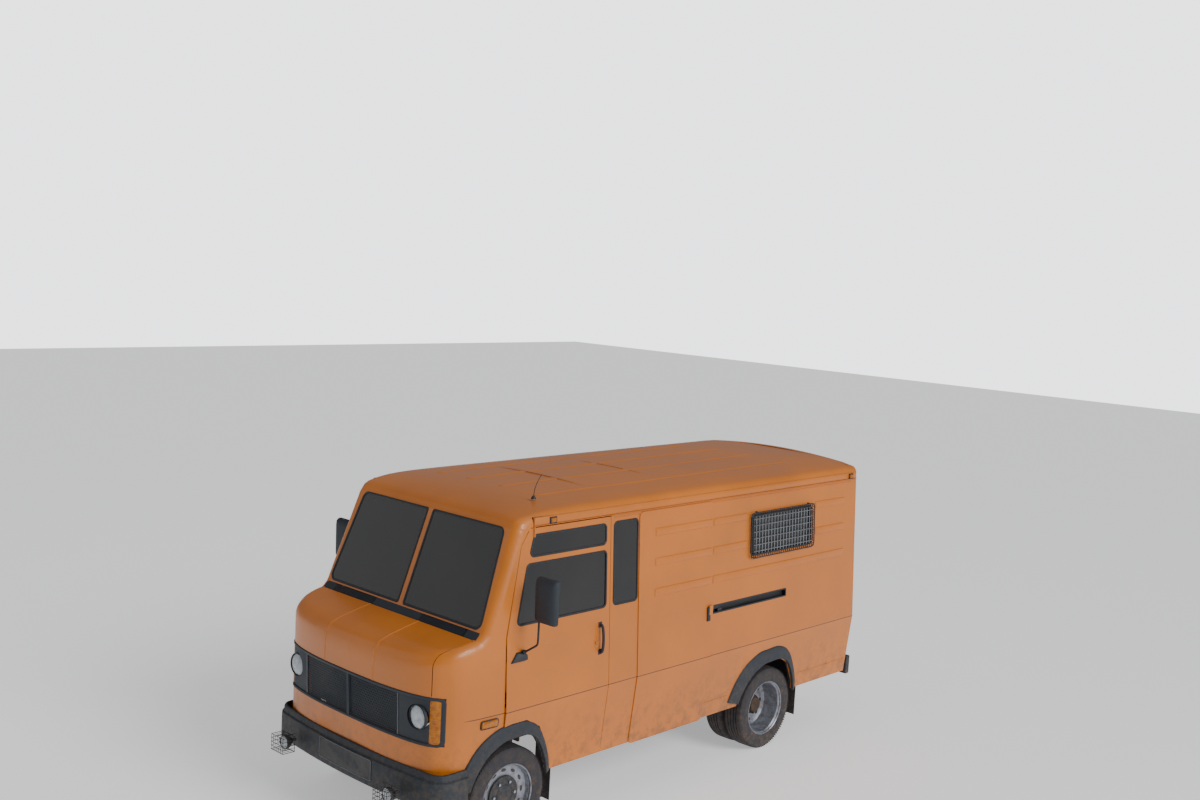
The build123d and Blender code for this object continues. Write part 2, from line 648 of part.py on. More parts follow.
with BuildPart() as rear_door_handle:
    add(rod((latch_x, body_rear_y - 20, latch_z), (latch_x, body_rear_y + 34, latch_z), 12))
    add(rod((latch_x, body_rear_y + near, latch_z), (latch_x, body_rear_y + 10, latch_z), 28))
    add(block(latch_x - 13, latch_x + 13, body_rear_y + 26, body_rear_y + 42, latch_z - 130, latch_z + 16))
save(rear_door_handle, "rear_door_handle")

with BuildPart() as rear_bumper:
    bumper_rear = rear_axle_y + rear_overhang
    add(block(-945, 945, bumper_rear - 60, bumper_rear, 420, 600))
    for side in (-1, 1):
        add(block(side * rail_x - 30, side * rail_x + 30, body_rear_y - 60, bumper_rear - 59,
                  bumper_arm_low, bumper_arm_low + 35))
        add(block(side * 765 - 105, side * 765 + 105, bumper_rear - 120, bumper_rear - 59, 420, 450))
save(rear_bumper, "rear_bumper")

with BuildPart() as body_lamps:
    # rear lamp clusters, then the small marker lamps at both ends of the gutters
    add(block(914, 960, body_rear_y + near, body_rear_y + 24, 700, 960))
    for start in (290.0, wheelbase + 1090.0):
        add((body_form(-26) - clear_form) & block(930, 1100, behind(start), behind(start + 76), 2384, 2438))
    add(body_lamps.part.mirror(Plane.YZ))
save(body_lamps, "body_lamps")

# ---- Sliding door -------------------------------------------------------------------------
slide_gap = 1.5
slide_skin = 5.0
arm_length = 180.0
door_pin_y = slide_rear - 55
carriage_y = door_pin_y + arm_length
track_x = side_x((rail_low + rail_high) / 2) - 18
track_low = rail_low + 9
arm_low = rail_low + 36
arm_high = rail_high - 9
link_pin = 6.0
slide_outline = [(slide_front, sill_z - 14), (slide_front, slide_top), (slide_rear, slide_top), (slide_rear, sill_z - 14)]

with BuildPart() as sliding_door:
    add((body_form(-slide_gap - slide_skin, sill_z - 60) - body_form(-slide_gap, sill_z - 90))
        & outline_prism(slide_outline, 0, 40))
    add(hairlines((slide_front - 20, waist_z, slide_rear + 20, waist_z)), mode=Mode.SUBTRACT)
    lug_x = side_x(arm_low) + slide_gap - running
    add(block(track_x - 12, lug_x, behind(door_pin_y) - 24, behind(door_pin_y) + 24, track_low, arm_low - near))
    add(rod((track_x, behind(door_pin_y), arm_low - 2), (track_x, behind(door_pin_y), arm_high), link_pin))
    stub_x = side_x(rail_low - 22) + slide_gap + slide_skin + running
    add(block(stub_x, stub_x + 14, behind(slide_rear - 44), behind(slide_rear - 1), rail_low - 22, rail_high + 12))
save(sliding_door, "sliding_door")

with BuildPart() as sliding_door_arm:
    add(block(track_x - 8, track_x + 8, behind(door_pin_y), behind(carriage_y), arm_low, arm_high))
    for end in (door_pin_y, carriage_y):
        add(rod((track_x, behind(end), arm_low), (track_x, behind(end), arm_high), 11))
    for end in (door_pin_y, carriage_y):
        add(rod((track_x, behind(end), arm_low - 1), (track_x, behind(end), arm_high + 1), link_pin + running),
            mode=Mode.SUBTRACT)
save(sliding_door_arm, "sliding_door_arm")

with BuildPart() as sliding_door_carriage:
    add(block(track_x - 12, track_x + 13, behind(carriage_y) - 28, behind(carriage_y) + 28, rail_low + 6 + near, arm_low - near))
    add(rod((track_x, behind(carriage_y), arm_low - 2), (track_x, behind(carriage_y), arm_high), link_pin))
save(sliding_door_carriage, "sliding_door_carriage")

# ---- Floor, firewall and wheel boxes ------------------------------------------------------
floor_thick = 6.0
box_inner_x = 556.0
firewall = -140.0
front_box_end = 470.0


def wheel_box(span, start, end):
    """A box over one wheel, open below and to the outside."""
    top = span[2] + box_rise
    outside = block(box_inner_x - skin, 960, behind(start), behind(end), floor_z - 100, top)
    open_front = -skin if start == firewall else skin
    hollow = block(box_inner_x, 1000, behind(start) + open_front, behind(end) - skin, floor_z - 200, top - skin)
    return outside, hollow


with BuildPart() as body_floor:
    floor_edge = block(-reach, reach, behind(door_rear + seam), reach, 0, floor_z + 4) & body_form(skin + near)
    cab_edge = block(-reach, reach, -reach, behind(door_rear + seam), 0, floor_z + 4) & body_form(door_depth + seam)
    add(block(-1000, 1000, behind(firewall), frame_front_y - 5, floor_z - floor_thick, floor_z + 4)
        & (floor_edge + cab_edge))
    add(block(-885, 885, behind(firewall), behind(firewall) + skin, floor_z, 1498))
    for span, start, end in ((front_wheel_gap, firewall, front_box_end),
                             (rear_wheel_gap, wheelbase - 520, wheelbase + 470)):
        shell_box, hollow = wheel_box(span, start, end)
        for side in (0, 1):
            outside = shell_box.mirror(Plane.YZ) if side else shell_box
            inside = hollow.mirror(Plane.YZ) if side else hollow
            add(outside & block(-reach, reach, -reach, reach, floor_z - floor_thick, reach))
            add(inside, mode=Mode.SUBTRACT)
    # hairlines that part each front wheel box into its top, inner wall and rear wall
    box_top = front_wheel_gap[2] + box_rise
    box_rear = behind(front_box_end)
    for side in (-1, 1):
        wide = sorted((side * (box_inner_x - skin), side * 960))
        for low in (floor_z + 4, box_top - skin - slit):
            add(block(wide[0], wide[1], behind(firewall), box_rear, low, low + slit), mode=Mode.SUBTRACT)
        add(block(wide[0], wide[1], box_rear - skin - slit, box_rear - skin, floor_z + 4, box_top - skin),
            mode=Mode.SUBTRACT)
        add(block(wide[0], wide[1], behind(firewall) + skin, behind(firewall) + skin + slit, box_top - skin, box_top),
            mode=Mode.SUBTRACT)
    # ears of the gear lever
    for side in (-1, 1):
        ear = sorted((side * 12.3, side * 24))
        add(block(60 + ear[0], 60 + ear[1], behind(560) - 14, behind(560) + 14, floor_z + 3, floor_z + 46))
    add(rod((60 - 25, behind(560), floor_z + 30), (60 + 25, behind(560), floor_z + 30), 8 + running), mode=Mode.SUBTRACT)
save(body_floor, "body_floor")

with BuildPart() as gear_lever:
    add(rod((60 - 24, behind(560), floor_z + 30), (60 + 24, behind(560), floor_z + 30), 8))
    add(rod((60, behind(560), floor_z + 24), (60, behind(540), floor_z + 420), 8))
    with Locations((60, behind(540), floor_z + 430)):
        Sphere(24)
save(gear_lever, "gear_lever")

# ---- Chassis ------------------------------------------------------------------------------
rail_width = 70.0
chassis_top = floor_z - floor_thick
chassis_low = chassis_top - 120

with BuildPart() as chassis_frame:
    frame_front = behind(-690)
    frame_rear = body_rear_y - 60
    for side in (-1, 1):
        add(block(side * rail_x - rail_width / 2, side * rail_x + rail_width / 2, frame_front, frame_rear,
                  chassis_low, chassis_top))
    bay = (frame_rear - frame_front - 60) / 5
    for rung in range(6):
        start = frame_front + rung * bay
        if rung != 1:
            add(block(-rail_x, rail_x, start, start + 60, chassis_low + 20, chassis_top - 10))
    for start in (1200.0, 2050.0, wheelbase + 700):
        add(block(-940, 940, behind(start), behind(start) + 50, chassis_top - 60, chassis_top))
save(chassis_frame, "chassis_frame")

bumper_low = 430.0
bumper_high = 690.0
bumper_end = -425.0
bumper_half_width = 1018.0


def bumper_form(inset):
    """The front bumper's outline from above, as an upright block behind its face."""
    with BuildPart(mode=Mode.PRIVATE) as form:
        with BuildSketch(Plane.XY.offset(bumper_low)):
            with BuildLine():
                corner = (880.0 - inset, behind(inset - 716))
                wide = bumper_half_width - inset
                ThreePointArc((-corner[0], corner[1]), (0, behind(inset - 770)), corner)
                flank = (wide, behind(-590))
                RadiusArc(corner, flank, -170 + inset)
                Polyline(flank, (wide, behind(bumper_end)), (-wide, behind(bumper_end)), (-wide, flank[1]))
                RadiusArc((-wide, flank[1]), (-corner[0], corner[1]), -170 + inset)
            make_face()
        extrude(amount=bumper_high - bumper_low)
    return form.part


with BuildPart() as front_bumper:
    add(bumper_form(0) - bumper_form(40))
    add(body_form(-1, 200), mode=Mode.SUBTRACT)
    add(block(-330, 330, behind(-790), behind(-766), 470, 640), mode=Mode.SUBTRACT)
    for side in (-1, 1):
        add(block(side * rail_x - 30, side * rail_x + 30, behind(-745), frame_front, chassis_low, 640)
            - body_form(-1, 400))
save(front_bumper, "front_bumper")

lamp_guard_front = behind(-front_overhang)
fog_x = 650.0
fog_z = 505.0
with BuildPart() as front_lamps:
    bowl_front = behind(-735)
    for side in (-1, 1):
        start = (side * lamp_x, bowl_front + 60, lamp_z)
        add(rod(start, (side * lamp_x, bowl_front + 12, lamp_z), lamp_radius))
        lens = (body_form(1) & rod((side * lamp_x, bowl_front + 12, lamp_z), (side * lamp_x, behind(-900), lamp_z),
                                   lamp_radius + 2 - near))
        add(lens)
        add(block(side * lamp_x - 25, side * lamp_x + 25, bowl_front + 60, behind(-640), lamp_z - 30, lamp_z + 30))
    # auxiliary lamps behind wire stone guards
    for side in (-1, 1):
        centre = side * fog_x
        add(rod((centre, behind(-872), fog_z), (centre, behind(-800), fog_z), 52))
        add(rod((centre, behind(-801), fog_z), (centre, behind(-712), fog_z), 14))
        add(bumper_form(-near) & block(centre - 60, centre + 60, behind(-800), behind(-600), fog_z - 60, fog_z + 60),
            mode=Mode.SUBTRACT)
        for bar_x in (-82, -30, 24, 76):
            add(block(centre + bar_x, centre + bar_x + 6, lamp_guard_front, lamp_guard_front + 6, fog_z - 62, fog_z + 62))
        for bar_z in (-62, -3, 56):
            add(block(centre - 82, centre + 82, lamp_guard_front, lamp_guard_front + 6, fog_z + bar_z, fog_z + bar_z + 6))
            for bar_x in (-82, 76):
                add(block(centre + bar_x, centre + bar_x + 6, lamp_guard_front, behind(-820),
                          fog_z + bar_z, fog_z + bar_z + 6))
        add(block(centre - 82, centre + 82, behind(-826), behind(-820), fog_z - 3, fog_z + 3))
save(front_lamps, "front_lamps")

# ---- Flares and flaps ---------------------------------------------------------------------
flare_proud = 27.0
with BuildPart() as arch_flares:
    flare_form = body_form(-flare_proud, 400) - body_form(-near, 390)
    for outer_span, inner_span in ((front_arch, front_wheel_gap), (rear_arch, rear_wheel_gap)):
        ring = arch(outer_span) - arch(inner_span)
        add(flare_form & ring & block(905, 1200, -reach, reach, arch_foot_z + 20, 1000))
    add(block(900, 1200, -reach, behind(bumper_end) + near, bumper_low - 60, bumper_high + near), mode=Mode.SUBTRACT)
    add(arch_flares.part.mirror(Plane.YZ))
save(arch_flares, "arch_flares")

flap_thick = 6.0
with BuildPart() as mud_flaps:
    for start, inner, outer in ((472.0, 760.0, 930.0), (wheelbase + 474, box_inner_x + 10, 962.0)):
        add(block(inner, outer, behind(start), behind(start) + flap_thick, 205, floor_z - floor_thick))
    add(mud_flaps.part.mirror(Plane.YZ))
save(mud_flaps, "mud_flaps")

# ---- Engine, gearbox and propeller shaft --------------------------------------------------
with BuildPart() as engine_and_gearbox:
    engine_rear = behind(firewall - 12)
    add(block(-210, 210, behind(-600), engine_rear, chassis_low - 60, 1080))
    add(block(-120, 120, behind(-585), engine_rear - 60, 1080, 1230))
    add(block(-350, 350, behind(-665), behind(-625), chassis_low + 110, 1180))
    add(rod((0, behind(-626), 820), (0, behind(-599), 820), 45))
    for side in (-1, 1):
        add(block(side * 295 - 85, side * 295 + 85, behind(-420), behind(-340), chassis_low + 30, chassis_low + 90))
    add(block(-130, 130, engine_rear - 1, behind(480), chassis_low - 60, chassis_low + 15))
    add(rod((0, behind(479), chassis_low - 20), (0, rear_axle_y - 195, tyre_radius + 20), 38))
save(engine_and_gearbox, "engine_and_gearbox")

# ---- Axles and springs --------------------------------------------------------------------
hub_z = tyre_radius
spring_low = tyre_radius + 46
front_beam_z = 318.0
kingpin_x = 735.0
kingpin_radius = 18.0
spindle_radius = 25.0
wheel_x = tyre_outer_x - tyre_width / 2
twin_inner_x = wheel_x - twin_spacing
axle_end_radius = 35.0
disc_x = (wheel_x + twin_inner_x) / 2
front_disc_x = wheel_x + 22

with BuildPart() as axles:
    # dropped front beam with a forked eye for each kingpin
    add(block(-620, 620, front_axle_y - 35, front_axle_y + 35, front_beam_z - 40, front_beam_z + 40))
    for side in (-1, 1):
        add(block(side * 640 - 40, side * 640 + 40, front_axle_y - 30, front_axle_y + 30, front_beam_z - 40, hub_z + 30))
        add(block(side * 690 - 30, side * 690 + 30, front_axle_y - 28, front_axle_y + 28, hub_z - 30, hub_z + 30))
        add(rod((side * kingpin_x, front_axle_y, hub_z - 34), (side * kingpin_x, front_axle_y, hub_z + 34), 34))
        add(rod((side * kingpin_x, front_axle_y, hub_z - 40), (side * kingpin_x, front_axle_y, hub_z + 40),
                kingpin_radius + running), mode=Mode.SUBTRACT)
    # rear housing with its differential and plain ends for the hubs
    add(rod((-640, rear_axle_y, hub_z), (640, rear_axle_y, hub_z), 46))
    with Locations((0, rear_axle_y, hub_z)):
        Sphere(150)
    add(rod((0, rear_axle_y - 189, hub_z + 20), (0, rear_axle_y - 120, hub_z + 10), 50))
    add(rod((-disc_x - 60, rear_axle_y, hub_z), (disc_x + 60, rear_axle_y, hub_z), axle_end_radius))
save(axles, "axles")


def leaf_spring(axle_y, seat_z, half_length):
    """One leaf spring pack that sits on its axle and reaches up to the frame rail."""
    with BuildPart(mode=Mode.PRIVATE) as spring:
        with BuildSketch(Plane.YZ.offset(rail_x - 30)):
            with BuildLine():
                eye_low = chassis_low - 34
                top = chassis_low
                ThreePointArc((axle_y - half_length, eye_low), (axle_y, seat_z), (axle_y + half_length, eye_low))
                Line((axle_y + half_length, eye_low), (axle_y + half_length, top))
                Line((axle_y + half_length, top), (axle_y + half_length - 40, top))
                ThreePointArc((axle_y + half_length - 40, top - 18), (axle_y, seat_z + 34),
                              (axle_y - half_length + 40, top - 18))
                Line((axle_y - half_length + 40, top - 18), (axle_y - half_length + 40, top))
                Line((axle_y - half_length + 40, top), (axle_y - half_length, top))
                Line((axle_y - half_length, top), (axle_y - half_length, eye_low))
                Line((axle_y + half_length - 40, top), (axle_y + half_length - 40, top - 18))
            make_face()
        extrude(amount=60)
    return spring.part


with BuildPart() as leaf_springs:
    add(leaf_spring(front_axle_y, front_beam_z + 40, 520))
    add(leaf_spring(rear_axle_y, hub_z + 46, 600))
    add(leaf_springs.part.mirror(Plane.YZ))
save(leaf_springs, "leaf_springs")

with BuildPart() as left_knuckle:
    eye_half = 34 + near
    add(rod((kingpin_x, front_axle_y, hub_z - eye_half - 20), (kingpin_x, front_axle_y, hub_z + eye_half + 20),
            kingpin_radius))
    for low in (hub_z - eye_half - 20, hub_z + eye_half):
        add(rod((kingpin_x, front_axle_y, low), (kingpin_x, front_axle_y, low + 20), 30))
        add(block(kingpin_x, kingpin_x + 58, front_axle_y - 20, front_axle_y + 20, low, low + 20))
    add(block(kingpin_x + 38, kingpin_x + 58, front_axle_y - 45, front_axle_y + 45, hub_z - eye_half - 20,
              hub_z + eye_half + 20))
    add(rod((kingpin_x + 57, front_axle_y, hub_z), (front_disc_x, front_axle_y, hub_z), spindle_radius))
    add(block(kingpin_x - 10, kingpin_x + 40, front_axle_y + 18, front_axle_y + 150, hub_z - eye_half - 20,
              hub_z - eye_half))
save_pair(left_knuckle, "left_knuckle", "right_knuckle")


# ---- Wheels -------------------------------------------------------------------------------
def turned(points, centre_y):
    """A ring turned about an axle: points are (x, radius)."""
    with BuildPart(mode=Mode.PRIVATE) as ring:
        with BuildSketch(Plane.XZ.offset(-centre_y)):
            with BuildLine():
                Polyline(*[(x, hub_z + r) for x, r in points], close=True)
            make_face()
        revolve(axis=Axis((0, centre_y, hub_z), (1, 0, 0)))
    return ring.part


def tyre_ring(centre_x, centre_y):
    """A tyre with rounded shoulders, open inside where the rim sits."""
    half = tyre_width / 2
    tread = tyre_radius
    bead = rim_radius - 14
    seat = half - 22
    return turned([(centre_x - seat, bead), (centre_x - half + 6, rim_radius + 12), (centre_x - half, tread - 70),
                   (centre_x - half + 10, tread - 22), (centre_x - half + 34, tread),
                   (centre_x + half - 34, tread), (centre_x + half - 10, tread - 22), (centre_x + half, tread - 70),
                   (centre_x + half - 6, rim_radius + 12), (centre_x + seat, bead)], centre_y)


def rim_ring(centre_x, centre_y, disc_start, disc_end, bore):
    """A rim: a barrel between its flanges and a flat disc bolted to the hub."""
    half = tyre_width / 2 - 24
    seat = rim_radius - 14 - near
    wall = 7.0
    start = min(centre_x - half - 12, disc_start)
    end = max(centre_x + half + 12, disc_end)
    barrel = turned([(start, seat), (end, seat), (end, seat - wall), (start, seat - wall)], centre_y)
    disc = turned([(disc_start, bore), (disc_start, seat - wall + 0.5), (disc_end, seat - wall + 0.5),
                   (disc_end, bore)], centre_y)
    return barrel + disc


with BuildPart() as front_left_tyre:
    add(tyre_ring(wheel_x, front_axle_y))
save_pair(front_left_tyre, "front_left_tyre", "front_right_tyre")

with BuildPart() as front_left_wheel:
    add(rim_ring(wheel_x, front_axle_y, front_disc_x, front_disc_x + 10, 62 + near))
    for stud in range(6):
        angle = math.radians(60 * stud + 30)
        spot = (front_axle_y + 165 * math.cos(angle), hub_z + 165 * math.sin(angle))
        add(rod((front_disc_x - 5, *spot), (front_disc_x + 15, *spot), 18), mode=Mode.SUBTRACT)
    hub_bore = spindle_radius + running
    add(turned([(kingpin_x + 66, hub_bore), (kingpin_x + 66, 62), (front_disc_x - 10, 62), (front_disc_x - 10, 100),
                (front_disc_x, 100), (front_disc_x, hub_bore)], front_axle_y))
    add(turned([(front_disc_x + 10, 0), (front_disc_x + 10, 138), (front_disc_x + 22, 132), (front_disc_x + 26, 60),
                (front_disc_x + 26, 0)], front_axle_y))
save_pair(front_left_wheel, "front_left_wheel", "front_right_wheel")

with BuildPart() as rear_left_tyres:
    add(tyre_ring(wheel_x, rear_axle_y))
    add(tyre_ring(twin_inner_x, rear_axle_y))
save_pair(rear_left_tyres, "rear_left_tyres", "rear_right_tyres")

with BuildPart() as rear_left_wheels:
    rear_bore = axle_end_radius + running
    add(turned([(disc_x - 60, rear_bore), (disc_x - 60, 95), (disc_x - 26, 95), (disc_x - 26, 130),
                (disc_x - 10, 130), (disc_x - 10, 70), (disc_x + 60 + near, 70), (disc_x + 60 + near, 60),
                (disc_x + 60 + near, rear_bore)], rear_axle_y))
    add(turned([(disc_x + 60 + near, 0), (disc_x + 60 + near, 58), (disc_x + 75, 52), (disc_x + 75, 0)], rear_axle_y))
    for centre, disc_start in ((twin_inner_x, disc_x - 10), (wheel_x, disc_x)):
        add(rim_ring(centre, rear_axle_y, disc_start, disc_start + 10, 70 + near))
    for hole in range(6):
        angle = math.radians(60 * hole)
        spot = (rear_axle_y + 165 * math.cos(angle), hub_z + 165 * math.sin(angle))
        add(rod((disc_x - 15, *spot), (disc_x + 15, *spot), 24), mode=Mode.SUBTRACT)
save_pair(rear_left_wheels, "rear_left_wheels", "rear_right_wheels")

# ---- Fuel tank and exhaust ----------------------------------------------------------------
with BuildPart() as fuel_tank:
    tank_outer = -rail_x - rail_width / 2
    add(block(tank_outer - 330, tank_outer, behind(1330), behind(1980), chassis_low - 120, chassis_top - 66))
    fillet(edges().filter_by(Axis.Y), 40)
save(fuel_tank, "fuel_tank")

with BuildPart() as exhaust:
    pipe_x = rail_x - 165
    pipe_z = chassis_low - 70
    add(rod((pipe_x, behind(600), pipe_z), (pipe_x, behind(1300), pipe_z), 26))
    add(rod((pipe_x, behind(1299), pipe_z), (pipe_x, behind(2000), pipe_z), 85))
    for start in (1400.0, 1850.0):
        add(block(pipe_x, rail_x - rail_width / 2, behind(start), behind(start) + 20, pipe_z + 20, chassis_low + 60))
    add(block(pipe_x - 14, rail_x - rail_width / 2, behind(640), behind(640) + 20, pipe_z, chassis_low + 60))
save(exhaust, "exhaust")

# ---- Cab fittings -------------------------------------------------------------------------
wheel_centre = Vector(430, behind(300), 1385)
column_lean = Vector(0, 0.62, 0.78).normalized()
column_gap = 60.0               # steering wheel's middle to the end of its column
column_end = wheel_centre - column_lean * column_gap

with BuildPart() as dashboard:
    dash_x = 884.0
    with BuildSketch(Plane.YZ.offset(-dash_x)):
        with BuildLine():
            Polyline((behind(firewall) + skin, 1180), (behind(firewall) + skin, 1470), (behind(-60), 1500),
                     (behind(150), 1470), (behind(185), 1400), (behind(120), 1200), close=True)
        make_face()
    extrude(amount=2 * dash_x)
    add(rod(tuple(wheel_centre - column_lean * 290), tuple(column_end), 34))
    for side in (-1, 1):
        post = sorted((side * 889.7, side * 850))
        add(block(post[0], post[1], hinge_y - 62, hinge_y + 27, 1100, 1520), mode=Mode.SUBTRACT)
save(dashboard, "dashboard")

with BuildPart() as steering_wheel:
    rim_plane = Plane(origin=wheel_centre, x_dir=(1, 0, 0), z_dir=column_lean)
    with Locations(rim_plane):
        Torus(215, 14)
        Cylinder(48, 40)
        Box(420, 34, 14)
    shaft_length = column_gap - near - 18
    with Locations(Plane(origin=wheel_centre - column_lean * (18 + shaft_length / 2), x_dir=(1, 0, 0),
                         z_dir=column_lean)):
        Cylinder(16, shaft_length)
save(steering_wheel, "steering_wheel")

seat_x = 430.0
seat_width = 480.0
seat_front = 430.0
seat_depth = 470.0
seat_top = floor_z + 420
cushion_height = 120.0
back_height = 600.0
seat_rear = seat_front + seat_depth
with BuildPart() as seat_frames:
    for side in (-1, 1):
        low = side * seat_x - seat_width / 2 + 20
        high = side * seat_x + seat_width / 2 - 20
        pan_z = seat_top - cushion_height - near
        add(block(low, high, behind(seat_front) + 40, behind(seat_rear) - 10, floor_z + 4, pan_z))
        add(block(low + 30, high - 30, behind(seat_front) + 70, behind(seat_rear) - 40, floor_z + 3, pan_z - 30),
            mode=Mode.SUBTRACT)
        add(block(low, high, behind(seat_rear) + 20, behind(seat_rear) + 34, floor_z + 4, seat_top + back_height - 60))
        add(block(low, high, behind(seat_rear) - 12, behind(seat_rear) + 21, pan_z - 40, pan_z - 6))
save(seat_frames, "seat_frames")

with BuildPart() as seat_pads:
    for side in (-1, 1):
        left = side * seat_x - seat_width / 2
        add(block(left, left + seat_width, behind(seat_front), behind(seat_rear) - 100, seat_top - cushion_height, seat_top))
        add(block(left + 10, left + seat_width - 10, behind(seat_rear) - 90, behind(seat_rear) + 20 - near,
                  seat_top - 60, seat_top + back_height))
    fillet(edges(), 22)
save(seat_pads, "seat_pads")

# ---- Roof aerial --------------------------------------------------------------------------
aerial_x = 700.0
aerial_y = 380.0
with BuildPart() as aerial:
    foot = (aerial_x, behind(aerial_y), 2480)
    add(rod(foot, (aerial_x, behind(aerial_y), 2545), 13))
    add(rod((aerial_x, behind(aerial_y), 2535), (aerial_x, behind(aerial_y + 60), 2700), 4))
    add(clear_form, mode=Mode.SUBTRACT)
save(aerial, "aerial")
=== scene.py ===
import bmesh
import bpy
import math
import numpy as np
from bpy.props import FloatProperty, FloatVectorProperty, IntProperty, PointerProperty
from mathutils import Matrix, Vector


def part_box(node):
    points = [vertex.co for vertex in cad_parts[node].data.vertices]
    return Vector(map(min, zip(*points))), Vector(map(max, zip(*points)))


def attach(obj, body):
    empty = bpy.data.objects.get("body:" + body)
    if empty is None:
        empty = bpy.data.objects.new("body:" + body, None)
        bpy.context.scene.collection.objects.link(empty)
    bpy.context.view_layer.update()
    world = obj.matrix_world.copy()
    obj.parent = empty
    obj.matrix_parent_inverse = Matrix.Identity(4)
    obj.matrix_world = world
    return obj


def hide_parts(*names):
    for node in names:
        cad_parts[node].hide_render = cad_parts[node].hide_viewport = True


bl_info = {
    "name": "Mail delivery truck",
    "version": (1, 0, 0),
    "blender": (4, 5, 0),
    "location": "View3D > Sidebar > Mail truck",
    "description": "Builds the skins, lamps, wheels, glass and cab of a forward-control mail van over its CAD frame",
    "category": "Add Mesh",
}

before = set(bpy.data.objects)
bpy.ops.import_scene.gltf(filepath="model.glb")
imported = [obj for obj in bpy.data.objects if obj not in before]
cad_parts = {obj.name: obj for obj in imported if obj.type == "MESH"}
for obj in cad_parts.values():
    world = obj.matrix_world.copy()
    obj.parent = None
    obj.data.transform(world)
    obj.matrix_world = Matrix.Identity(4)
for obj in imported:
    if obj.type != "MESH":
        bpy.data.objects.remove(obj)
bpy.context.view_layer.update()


def middle(node, axis):
    """Middle of a CAD node's box along one axis."""
    low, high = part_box(node)
    return (low[axis] + high[axis]) / 2


front_axle = middle("front_left_wheel", 1)
rear_axle = middle("rear_left_wheels", 1)
axle_height = middle("front_left_wheel", 2)
body_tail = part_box("rear_frame")[1][1]
sill_height = 0.484
waist_height = 1.046
waist_half = 1.038
sill_half = 0.976
gutter_height = 2.446
gutter_half = 0.964
roof_height = 2.560


# ---- Small helpers ------------------------------------------------------------------------
def linear(code):
    """An sRGB hex colour as the linear colour that shaders use."""
    channels = [int(code[i:i + 2], 16) / 255 for i in (1, 3, 5)]
    return tuple(c / 12.92 if c <= 0.04045 else ((c + 0.055) / 1.055) ** 2.4 for c in channels) + (1.0,)


def add_node(tree, kind, inputs=None, **settings):
    """Add one node, set its properties, and set or link its inputs by name or number."""
    node = tree.nodes.new(kind)
    for key, value in settings.items():
        setattr(node, key, value)
    for key, value in (inputs or {}).items():
        socket = node.inputs[key]
        if isinstance(value, bpy.types.NodeSocket):
            tree.links.new(value, socket)
        else:
            socket.default_value = value
    return node


def half_width(z):
    """Half width of the body's side at a height."""
    z = np.asarray(z, dtype=float)
    low = waist_half - (waist_half - sill_half) * (waist_height - z) / (waist_height - sill_height)
    high = waist_half - (waist_half - gutter_half) * (z - waist_height) / (gutter_height - waist_height)
    return np.where(z < waist_height, low, high)


def rounded(points, radius, steps=6):
    """A closed outline with its corners rounded, as an array of points."""
    points = [np.array(p, dtype=float) for p in points]
    radii = radius if isinstance(radius, (list, tuple)) else [radius] * len(points)
    out = []
    for i, here in enumerate(points):
        before, after = points[i - 1] - here, points[(i + 1) % len(points)] - here
        if radii[i] <= 0:
            out.append(here)
            continue
        length_a, length_b = np.linalg.norm(before), np.linalg.norm(after)
        before, after = before / length_a, after / length_b
        angle = math.acos(np.clip(before @ after, -1, 1))
        cut = min(radii[i] / math.tan(angle / 2), length_a * 0.48, length_b * 0.48)
        reach = cut * math.tan(angle / 2)
        centre = here + (before + after) / np.linalg.norm(before + after) * reach / math.sin(angle / 2)
        start, end = here + before * cut - centre, here + after * cut - centre
        sweep = math.pi - angle
        turn = 1 if start[0] * end[1] - start[1] * end[0] > 0 else -1
        for k in range(steps + 1):
            a = turn * sweep * k / steps
            out.append(centre + np.array([start[0] * math.cos(a) - start[1] * math.sin(a),
                                          start[0] * math.sin(a) + start[1] * math.cos(a)]))
    return np.array(out)


def away(outline, u, v):
    """Distance outside a closed outline, less than nothing inside it."""
    shape = np.broadcast(u, v).shape
    p = np.stack([np.broadcast_to(u, shape).ravel(), np.broadcast_to(v, shape).ravel()], 1)
    nearest = np.full(len(p), 1e9)
    inside = np.zeros(len(p), dtype=bool)
    for a, b in zip(outline, np.roll(outline, -1, axis=0)):
        run = b - a
        if run @ run < 1e-14:
            continue
        t = np.clip(((p - a) @ run) / (run @ run), 0, 1)
        gap = p - a - t[:, None] * run
        nearest = np.minimum(nearest, (gap * gap).sum(1))
        if abs(run[1]) > 1e-12:
            crosses = (p[:, 1] >= a[1]) != (p[:, 1] >= b[1])
            inside ^= crosses & (p[:, 0] < a[0] + (p[:, 1] - a[1]) * run[0] / run[1])
    return np.where(inside, -1, 1).reshape(shape) * np.sqrt(nearest).reshape(shape)


def smooth_run(points, steps=8):
    """Points along a smooth curve that passes through the given points."""
    p = [np.array(q, dtype=float) for q in points]
    p = [2 * p[0] - p[1]] + p + [2 * p[-1] - p[-2]]
    out = []
    for i in range(1, len(p) - 2):
        for k in range(steps):
            t = k / steps
            out.append(0.5 * (2 * p[i] + (p[i + 1] - p[i - 1]) * t
                              + (2 * p[i - 1] - 5 * p[i] + 4 * p[i + 1] - p[i + 2]) * t * t
                              + (3 * p[i] - p[i - 1] - 3 * p[i + 1] + p[i + 2]) * t ** 3))
    out.append(p[-2])
    return out


